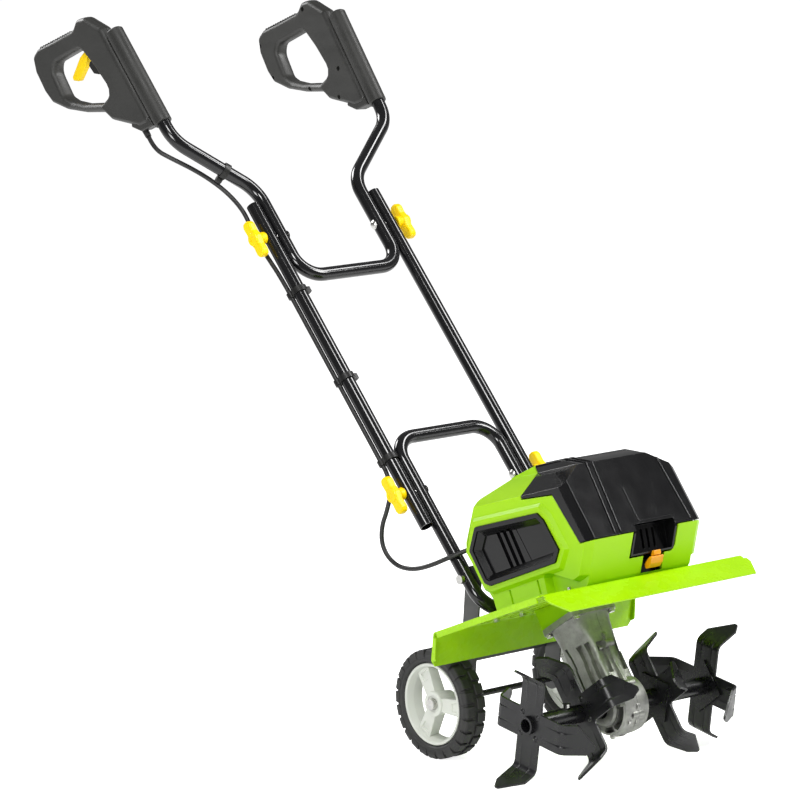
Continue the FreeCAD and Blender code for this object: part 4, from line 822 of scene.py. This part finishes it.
def make_grip(name, side, body="upper_handle"):
    """A closed loop grip on a sleeve: rounded bars, ribs, a seam and sunk screws."""
    frame_matrix = grip_frame(side)
    loop = grip_ring(grown(rounded(GRIP_OUTER, 14, 3), -1.5), 1)
    hole = grip_ring(grown(rounded(GRIP_INNER, 12, 3), 4.5), -1)
    cut(loop, hole)
    sleeve = turned([(0, 0), (0, SLEEVE_RADIUS - 1), (1, SLEEVE_RADIUS),
                     (SLEEVE_LENGTH - 2, SLEEVE_RADIUS), (SLEEVE_LENGTH, SLEEVE_RADIUS - 2),
                     (SLEEVE_LENGTH, 0)], 56)
    place(sleeve, Matrix.Rotation(-math.pi / 2, 4, "Y"))
    join(loop, sleeve)
    cut(loop, bar((0, 0, -5), (0, 0, SLEEVE_LENGTH - 4), GRIP_TUBE_HOLE, 40))
    seam = slab(grown(GRIP_OUTER, 3), -SEAM_HALF, SEAM_HALF)
    cut(seam, slab(grown(rounded(GRIP_OUTER, 14, 3), -2.6), -1, 1))
    cut(loop, seam)
    for y, z in GRIP_SCREWS:
        cut(loop, bar((-side * 8, y, z), (-side * 16, y, z), 4.2, 20))
    boss = soften(slab([(14, 6), (46, 17), (62, 37), (56, 44), (40, 34), (14, 24)],
                       -11.5, 11.5), 2.5, 3)
    whole = gather([loop, boss] + grip_ribs())
    for point in whole.data.vertices:
        point.co.y = drawn_in(point.co.y)
    heads = []
    for y, z in GRIP_SCREWS:
        inner, outer = -side * 7.0, -side * 10.0
        head = lathe([(inner, 1.2), (inner, 3.4), (outer + side, 3.4), (outer, 2.6),
                      (outer, 1.2)], 20)
        heads.append(place(head, Matrix.Translation((0, drawn_in(y), z))))
    finish(gather(heads), "grip_screw_heads_" + name, frame_matrix, body, "black_plastic",
           ["grip_screws"])
    finish(whole, "grip_" + name, frame_matrix, body, "grip_plastic",
           ["grip_%s_inner" % name, "grip_%s_outer" % name])


def make_trigger():
    """The yellow squeeze blade and the black lock paddle of the left grip."""
    frame_matrix = grip_frame(-1)
    blade = slab(rounded([(80, 197), (98, 186), (131, 179), (142, 188), (140, 194), (100, 206),
                          (84, 206)], 4, 4), -6, 6)
    finish(soften(blade, 2.4, 4, 30), "trigger_blade", frame_matrix, "trigger_body",
           "yellow_plastic", ["trigger"])
    paddle = slab(rounded([(68, 155), (78, 155), (88, 164), (90, 182), (84, 184.5), (68, 184)],
                          3, 3), -6, 6)
    finish(soften(paddle, 2, 3, 30), "lock_paddle", frame_matrix, "lock_body",
           "black_plastic", ["lock_lever"])


# ------------------------------------------------------------------ tines

BLADE_HALF = 24.0
BLADE_GAUGE = 4.0
BLADE_BEND = 72.0
TIP_OUT = 26.0
TIP_SIDE = 47.0
TIP_INWARD = 42.0
BEND_RADIUS = 14.0
TIP_CUT = 30.0
BLADE_ROOT = 30.0
BEAD_RISE = 1.3
CROSS_REACH = 34.0
HUB_HOLE = 14.1
OUTER_STAR = {"middle": 184.3, "turn": 10, "first_way": 1}
INNER_STAR = {"middle": 80, "turn": 55, "first_way": -1}


def bend_of(tip_angle):
    """A blade bend's reach on each side of the corner, its start, and its arc length."""
    reach = BEND_RADIUS * math.tan(tip_angle / 2)
    return reach, BLADE_BEND - reach, BEND_RADIUS * tip_angle


def blade_place(u, out, tip_angle):
    """A point of the blade's middle line, past the bend, as (x, z), pushed out by a depth."""
    _, start, arc = bend_of(tip_angle)
    if u <= start:
        return Vector((out, u))
    a = (u - start) / BEND_RADIUS if u < start + arc else tip_angle
    centre = Vector((BEND_RADIUS, start))
    spot = centre + (BEND_RADIUS - out) * Vector((-math.cos(a), math.sin(a)))
    if u >= start + arc:
        spot += Vector((math.sin(a), math.cos(a))) * (u - start - arc)
    return spot


def blade_tip(way, side_reach):
    """One blade from the cross plate out to its bent, clipped tip, with two stamped ribs."""
    tip_angle = math.atan2(side_reach, TIP_OUT)
    reach, start, arc = bend_of(tip_angle)
    total = start + arc + math.hypot(side_reach, TIP_OUT) - reach
    stations = [BLADE_ROOT, start] + [start + arc * n / 8 for n in range(1, 9)]
    stations += [total - TIP_CUT, total - 0.45 * TIP_CUT, total]
    section = [(-1, 0), (-0.54, 0), (-0.46, 1), (-0.38, 0), (0.38, 0), (0.46, 1), (0.54, 0), (1, 0)]
    rings = []
    for u in stations:
        low, high = -BLADE_HALF, BLADE_HALF
        if u > total - TIP_CUT - 0.01:
            part = (u - total + TIP_CUT) / TIP_CUT
            high -= 33 * part
            low += 9 * max(0.0, part - 0.55) / 0.45
        ring = []
        half = BLADE_GAUGE / 2
        rise = BEAD_RISE if 40 < u < total - TIP_CUT - 1 else 0.0
        for v, bead in section:
            x, z = blade_place(u, half + bead * rise, tip_angle)
            ring.append((x, low + (v + 1) / 2 * (high - low), z))
        for v, bead in section[::-1]:
            x, z = blade_place(u, -half + bead * rise, tip_angle)
            ring.append((x, low + (v + 1) / 2 * (high - low), z))
        rings.append(ring)
    item = loft(rings)
    return place(item, MIRROR) if way < 0 else item


def make_star(name, side, middle, turn, first_way):
    """Four stamped blades round the hub tube, tips bent to alternate sides."""
    arms = []
    for n in range(4):
        way = first_way if n % 2 == 0 else -first_way
        short = way < 0 and middle == INNER_STAR["middle"]
        tip = blade_tip(way * side, TIP_INWARD if short else TIP_SIDE)
        arms.append(place(tip, Matrix.Rotation(math.radians(90 * n), 4, "X")))
    reach, half = CROSS_REACH, BLADE_HALF
    cross = [(-half, -reach), (half, -reach), (half, -half), (reach, -half), (reach, half),
             (half, half), (half, reach), (-half, reach), (-half, half), (-reach, half),
             (-reach, -half), (-half, -half)]
    plate = cut(slab(cross, -2.05, 2.05), bar((-5, 0, 0), (5, 0, 0), HUB_HOLE, 48))
    whole = gather([plate] + arms)
    soften(whole, 0.5, 2, 50)
    lean = Matrix.Translation((side * middle, 0, 0)) @ Matrix.Rotation(math.radians(turn), 4, "X")
    finish(whole, name + "_blades", SHAFT @ lean, "tine_rotor", "tine_paint", [name], 30)


# ------------------------------------------------------------------ wheels

WHEEL_RADIUS = 88.0
RIM_RADIUS = 65.5
WHEEL_FACE = 167.6
TYRE_WIDTH = 44.0
TYRE_BEAD = 65.6
TYRE_CROWN = 84.6
TREADS = 24
SPOKE_TURN = math.radians(90)


def make_tyre(name, side, body):
    """A tyre with a flat crown and bevelled lugs that wrap both shoulders."""
    face, back = WHEEL_FACE, WHEEL_FACE - TYRE_WIDTH
    wall = [(7, TYRE_BEAD), (1, 70), (1.5, 80), (6, TYRE_CROWN)]
    core = lathe([(side * (back + x), radius) for x, radius in wall]
                 + [(side * (face - x), radius) for x, radius in wall[::-1]], 96)
    soften(core, 1.2, 2, 20)
    lugs = []
    step = 2 * math.pi / TREADS
    for n in range(TREADS):
        for near, far, shift in ((face, face - 20, 0.0), (back, back + 20, 0.5)):
            way = 1 if near > far else -1
            foot, head = 0.42 * step, 0.34 * step
            rings = []
            for radius, half, x0, x1 in ((75.0, foot, near - way * 0.6, far + way * 6),
                                         (80.5, foot, near, far + way * 3),
                                         (86.6, head * 1.1, near - way * 2.5, far + way * 1),
                                         (WHEEL_RADIUS - 0.1, head, near - way * 5, far + way * 2)):
                y, z = radius * math.sin(half), radius * math.cos(half)
                rings.append([(side * x0, -y, z), (side * x0, y, z),
                              (side * x1, y, z), (side * x1, -y, z)])
            lug = soften(loft(rings), 0.6, 2, 20)
            lugs.append(place(lug, Matrix.Rotation((n + shift) * step, 4, "X")))
    finish(gather([core] + lugs), "tyre_%s_tread" % name, AXLE, body, "tyre_rubber",
           ["tyre_" + name], 35)


def make_rim(name, side, body):
    """A pale rim: dished barrel, three boxed spokes, and a raised hub with a cap."""
    face, back = WHEEL_FACE, WHEEL_FACE - TYRE_WIDTH
    barrel = lathe([(side * (face - 4), RIM_RADIUS), (side * (face - 3.2), RIM_RADIUS - 2),
                    (side * (face - 4.5), RIM_RADIUS - 4.5), (side * (face - 16), RIM_RADIUS - 8),
                    (side * (back + 10), RIM_RADIUS - 8), (side * (back + 8), RIM_RADIUS)], 96)
    soften(barrel, 0.6, 2, 15)
    hub = lathe([(side * back, 5.2), (side * back, 17), (side * (face - 9), 20.5),
                 (side * (face - 6), 19.5), (side * (face - 6), 13.5), (side * (face - 8), 12.5),
                 (side * (face - 8), 9.2), (side * (face - 10), 9.2),
                 (side * (face - 10), 5.2)], 64)
    soften(hub, 0.7, 3, 20)
    spokes = []
    for n in range(3):
        x_top, x_low = side * (face - 9), side * (face - 32)
        arm = loft([[(x_top, -11, 15), (x_top, 11, 15), (x_low, 10, 15), (x_low, -10, 15)],
                    [(x_top - side * 3, -14.5, 60), (x_top - side * 3, 14.5, 60),
                     (x_low, 13, 60), (x_low, -13, 60)]])
        groove = loft([[(x_top + side * 2, -7, 40), (x_top + side * 2, 7, 40),
                        (x_top - side * 4, 6, 40), (x_top - side * 4, -6, 40)],
                       [(x_top + side, -9, 54), (x_top + side, 9, 54),
                        (x_top - side * 6, 8, 54), (x_top - side * 6, -8, 54)]])
        cut(arm, groove)
        soften(arm, 1.2, 3, 30)
        spokes.append(place(arm, Matrix.Rotation(2 * math.pi * n / 3 + SPOKE_TURN, 4, "X")))
    finish(gather([barrel, hub] + spokes), "rim_%s_casting" % name, AXLE, body, "rim_plastic",
           ["wheel_rim_" + name], 32)


# ------------------------------------------------------------------ gear leg

LEG_LENGTH = 155.0
LEG_MIDDLE = 8.0
SHANK_HALF = 26.0
SCREW_SPREAD = 37
FLANGE_HALF = 46.0
LEG_POCKETS = [([(-22, 36), (-9, 30), (-9, 104), (-22, 104)], 7),
               ([(-4, 28), (10, 28), (10, 106), (-4, 106)], 7),
               ([(28, 20), (33, 20), (33, 112), (28, 112)], 12)]
LEG_RIM = [(-36, 112), (-34, 60), (-40, 20), (-44, -20), (-24, -42), (20, -46), (46, -16),
           (52, 30), (54, 112)]
SHAFT_HOLE = 12.4
SPLIT_HALF = 0.25
LEG_EARS = [(-38, 20), (-32, -28), (-32, 92), (48, -8), (53, 52)]


def box_ring(z, x_half, y_low, y_high, radius):
    """A rounded rectangle at one height of the leg."""
    corners = [(-x_half, y_low), (x_half, y_low), (x_half, y_high), (-x_half, y_high)]
    return [(x, y, z) for x, y in rounded(corners, radius, 6)]


def pocket(side, outline, depth):
    """A drafted hollow in a side face of the leg."""
    face = SHANK_HALF
    low = [(side * (face - depth), y, z) for y, z in grown(outline, -1.5)]
    high = [(side * (face + 12), y, z) for y, z in grown(outline, 1)]
    return loft([low, high])


def make_gearbox():
    """The cast gear leg: flange, funnel neck, ribbed shank, screw ears, and round foot."""
    top = LEG_LENGTH
    low, high = LEG_MIDDLE - FLANGE_HALF, LEG_MIDDLE + FLANGE_HALF
    leg = loft([box_ring(top - 9.5, FLANGE_HALF, low, high, 12),
                box_ring(top, FLANGE_HALF, low, high, 12)])
    neck = loft([box_ring(74, 24, -28, 48, 7), box_ring(96, 26, -30, 50, 10),
                 box_ring(116, 31, -31, 48, 16), box_ring(132, 37, -32, 49, 24),
                 box_ring(142, 42, -34, 51, 30), box_ring(top - 8, 44, -36, 52, 34)])
    shank = loft([box_ring(4, 23, -36, 40, 8), box_ring(30, 25, -32, 48, 7),
                  box_ring(76, 26, -29, 49, 7)])
    foot = turned([(-37.5, 0), (-37.5, 22), (-35, 27), (-30, 28.5), (-29.5, 38), (-24, 44),
                   (-12, 46), (12, 46), (24, 44), (29.5, 38), (30, 28.5), (35, 27), (37.5, 22),
                   (37.5, 0)], 72)
    join(leg, neck, shank, foot)
    rim = slab(rounded(LEG_RIM, 8, 4), -3.2, 3.2)
    join(leg, rim)
    join(leg, *[bar((-12, y, z), (12, y, z), 6.6, 28) for y, z in LEG_EARS])
    cut(leg, *[bar((side * 8.5, y, z), (side * 14, y, z), 3.9, 24)
               for y, z in LEG_EARS for side in (-1, 1)])
    for side in (-1, 1):
        for shape, depth in LEG_POCKETS:
            cut(leg, pocket(side, shape, depth))
        cut(leg, bar((side * 20, 40, 34), (side * 30, 40, 34), 4, 24))
        hollow = slab(arc_points((0, 0), 41, 200, 262, 10) + arc_points((0, 0), 31, 262, 200, 10),
                      side * 16, side * 34)
        cut(leg, hollow)
        web = arc_points((0, 0), 40, 268, 300, 6) + arc_points((0, 0), 31, 300, 268, 6)
        cut(leg, slab(web, side * 18, side * 34))
    for x0, x1 in ((-21, -8), (8, 21)):
        cut(leg, loft([[(x0, -60, 44), (x1, -60, 44), (x1, -60, 100), (x0, -60, 100)],
                       [(x0 + 1, -24.5, 46), (x1 - 1, -24.5, 46), (x1 - 1, -24.5, 98),
                        (x0 + 1, -24.5, 98)]]))
    cut(leg, bar((-60, 0, 0), (60, 0, 0), SHAFT_HOLE, 40))
    cut(leg, brick((-SPLIT_HALF, -90, -90), (SPLIT_HALF, 100, 200)))
    soften(leg, 1.3, 2, 30)
    finish(leg, "gear_leg", LEG, "chassis", "cast_aluminium", ["gearbox_left", "gearbox_right"],
           35)
    heads = []
    for x in (-SCREW_SPREAD, SCREW_SPREAD):
        for y in (LEG_MIDDLE - SCREW_SPREAD, LEG_MIDDLE + SCREW_SPREAD):
            heads.append(hex_head((x, y, top - 9.6), 5.5, 5))
    finish(gather(heads), "flange_screws", LEG, "chassis", "zinc", ())


def hex_head(at, radius, height):
    """A hexagon head that hangs below a point, with a raised washer face."""
    x, y, z = at
    ring = arc_points((x, y), radius, 0, 300, 5)
    washer = arc_points((x, y), radius * 1.25, 0, 345, 23)
    head = soften(column(ring, z - height, z - 1), 0.6, 2)
    return gather([head, column(washer, z - 1.2, z + 0.2)])


# ------------------------------------------------------------------ cords

CABLE_RADIUS = 3.75
LOOP_POINTS = [(-138.2, 11.2, 52), (-139, 13, 34), (-140, 27, 15), (-141, 50, 1),
               (-142, 76, -10), (-142.5, 95, -29), (-142.5, 99, -54), (-141, 89, -81),
               (-138, 63, -104), (-133, 32, -118), (-124, 4, -126), (-112, -18, -131),
               (-98, -31.5, -134)]
GLAND_DROP = 18.0
UPPER_CORD_POINTS = [(-234, 29.3, 723.2), (-217.5, 19.9, 694.4), (-194.4, 15.5, 669.3),
                     (-166, 19, 645.6), (-147, 17.5, 614), (-139.5, 13, 574), (-139.2, 16.5, 540),
                     (-139.2, 17.5, 507), (-139.2, 15, 474), (-138.2, 12, 442),
                     (-138.2, 11.2, 408)]
GLAND_AT = Vector((0, 48, 24))


def cord_line(points):
    """The smooth line through a route, as world points read from its NURBS spline."""
    curve = bpy.data.curves.new("route", "CURVE")
    curve.dimensions = "3D"
    spline = curve.splines.new("NURBS")
    spline.points.add(len(points) - 1)
    for knot, point in zip(spline.points, points):
        knot.co = (*point, 1)
    spline.order_u = 3
    spline.use_endpoint_u = True
    spline.resolution_u = 10
    holder = new_object("route", curve)
    bpy.context.view_layer.update()
    mesh = bpy.data.meshes.new_from_object(holder)
    line = [vertex.co.copy() for vertex in mesh.vertices]
    bpy.data.objects.remove(holder)
    bpy.data.meshes.remove(mesh)
    return line


def hose(line, radius, sides=20):
    """A round tube along a line, in world metres."""
    rings = []
    normal = None
    for n, here in enumerate(line):
        run = (line[min(n + 1, len(line) - 1)] - line[max(n - 1, 0)]).normalized()
        if normal is None:
            normal = run.orthogonal().normalized()
        normal = (normal - run * normal.dot(run)).normalized()
        other = run.cross(normal)
        rings.append([here + radius * (math.cos(a) * normal + math.sin(a) * other)
                      for a in [2 * math.pi * k / sides for k in range(sides)]])
    return loft(rings)


def make_cord(name, node, points):
    """A free cord between two bodies that fold, made as one fixed tube along its route."""
    line = cord_line(points)
    tube = hose(line, CABLE_RADIUS * MM)
    tube.name = name
    tube.data.name = name
    tube.data.materials.append(MATERIALS["cable_rubber"])
    shade_smooth(tube.data)
    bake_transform(tube)
    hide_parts(node)


def make_cords():
    """The slack loop at the foot of the handle, and the cord from the grip."""
    loop = [MAST @ Vector(point) for point in LOOP_POINTS][::-1]
    make_cord("loop_cord", "cable_loop", loop)
    gland = MAST.inverted() @ (grip_frame(-1) @ GLAND_AT)
    first = gland - Vector((0, 0, GLAND_DROP))
    upper = [MAST @ Vector(point) for point in [first] + UPPER_CORD_POINTS]
    make_cord("grip_cord", "cable_upper", upper)


# ------------------------------------------------------------------ carried-over CAD nodes

SLOTS = {item["node"]: item["material_slot"] for item in frame["record"]["subparts"]}
SOFT_EDGE = 0.6 * MM
LOOKS = {"wheel_axle": "black_sheet", "tine_rivets": "tine_paint", "grip_screws": "black_plastic"}


def dress_cad_nodes():
    """Give every CAD node its material and soften its edges."""
    for name, node in frame["nodes"].items():
        look = LOOKS.get(name, SLOTS[name])
        node.data.materials.clear()
        node.data.materials.append(MATERIALS[look])
        bevel = node.modifiers.new("soft_edges", "BEVEL")
        bevel.width = SOFT_EDGE
        bevel.segments = 2
        bevel.limit_method = "ANGLE"
        bevel.angle_limit = math.radians(35)


dress_cad_nodes()

for part in (make_housing, make_cover, make_vents, make_latch, make_trigger, make_gearbox,
             make_cords):
    part()
for knob in KNOBS:
    make_knob(*knob)
for name, side in (("left", -1), ("right", 1)):
    make_grip(name, side)
    make_tyre(name, side, "wheel_" + name)
    make_rim(name, side, "wheel_" + name)
    make_star("tine_star_outer_" + name, side, **OUTER_STAR)
    make_star("tine_star_inner_" + name, side, **INNER_STAR)

# ------------------------------------------------------------------ stage, light and camera


LIGHT_AIM = Vector((0, -0.1, 0.45))
LIGHTS = [("key", (1.8, -2.6, 2.9), 1.2, 105), ("fill", (-3.0, -1.4, 1.6), 1.0, 48),
          ("top_left", (-1.6, -1.3, 3.0), 0.7, 34), ("top_right", (1.7, -0.9, 3.0), 0.7, 30),
          ("back", (-0.6, 2.8, 2.4), 1.2, 60)]
FLOOR_HALF = 60.0
FLOOR_TONE = 0.86
WORLD_LIT = 0.2
WORLD_SEEN = 1.0
FLOOR_LIT = 0.3
FLOOR_SEEN = 0.86


def soft_light(name, spot, size, power):
    """A large square studio light that points at the machine."""
    data = bpy.data.lights.new(name, "AREA")
    data.shape = "SQUARE"
    data.size = size
    data.energy = power
    light = new_object(name, data)
    light.location = spot
    light.rotation_euler = (LIGHT_AIM - Vector(spot)).to_track_quat("-Z", "Y").to_euler()


def seen_level(tree, socket, lit, seen):
    """The stage looks brighter than the light that it gives the machine."""
    path = tree.nodes.new("ShaderNodeLightPath")
    level = tree.nodes.new("ShaderNodeMapRange")
    level.inputs["To Min"].default_value = lit
    level.inputs["To Max"].default_value = seen
    tree.links.new(path.outputs["Is Camera Ray"], level.inputs["Value"])
    tree.links.new(level.outputs["Result"], socket)


def make_stage():
    """A wide pale floor, a pale world, and soft lights."""
    mesh = bpy.data.meshes.new("floor")
    half = FLOOR_HALF
    mesh.from_pydata([(-half, -half, 0), (half, -half, 0), (half, half, 0), (-half, half, 0)],
                     [], [(0, 1, 2, 3)])
    floor = new_object("floor", mesh)
    white = bpy.data.materials.new("studio_floor")
    white.use_nodes = True
    surface = white.node_tree.nodes["Principled BSDF"]
    surface.inputs["Base Color"].default_value = (FLOOR_TONE, FLOOR_TONE, FLOOR_TONE, 1)
    surface.inputs["Roughness"].default_value = 0.8
    surface.inputs["Specular IOR Level"].default_value = 0.1
    surface.inputs["Emission Color"].default_value = (1, 1, 1, 1)
    seen_level(white.node_tree, surface.inputs["Emission Strength"], FLOOR_LIT, FLOOR_SEEN)
    mesh.materials.append(white)
    world = bpy.data.worlds.new("studio")
    world.use_nodes = True
    tree = world.node_tree
    seen_level(tree, tree.nodes["Background"].inputs["Strength"], WORLD_LIT, WORLD_SEEN)
    tree.nodes["Background"].inputs["Color"].default_value = (1, 1, 1, 1)
    bpy.context.scene.world = world
    for light in LIGHTS:
        soft_light(*light)


CAMERA_AZIMUTH = math.radians(-40.035)
CAMERA_ELEVATION = math.radians(8.878)
CAMERA_ROLL = math.radians(-1.551)
CAMERA_DISTANCE = 6.37374
SENSOR_WIDTH = 36.0
LENS = 187.17
LENS_SHIFT = (-0.0051, 0.0029)
CAMERA_AIM = Vector((-0.249106, 0.200 + SHAFT_AT.y, 0.585258))


def make_camera():
    """A long lens in front, a little to the left of the machine and above it."""
    level = math.cos(CAMERA_ELEVATION)
    back = Vector((math.sin(CAMERA_AZIMUTH) * level, -math.cos(CAMERA_AZIMUTH) * level,
                   math.sin(CAMERA_ELEVATION)))
    data = bpy.data.cameras.new("camera")
    data.sensor_width = SENSOR_WIDTH
    data.lens = LENS
    data.shift_x, data.shift_y = LENS_SHIFT
    data.clip_end = FLOOR_HALF
    camera = new_object("camera", data)
    turn = back.to_track_quat("Z", "Y") @ Matrix.Rotation(CAMERA_ROLL, 4, "Z").to_quaternion()
    camera.rotation_mode = "QUATERNION"
    camera.rotation_quaternion = turn
    camera.location = CAMERA_AIM + back * CAMERA_DISTANCE
    bpy.context.scene.camera = camera


make_stage()
make_camera()
bpy.context.scene.view_settings.view_transform = "Standard"
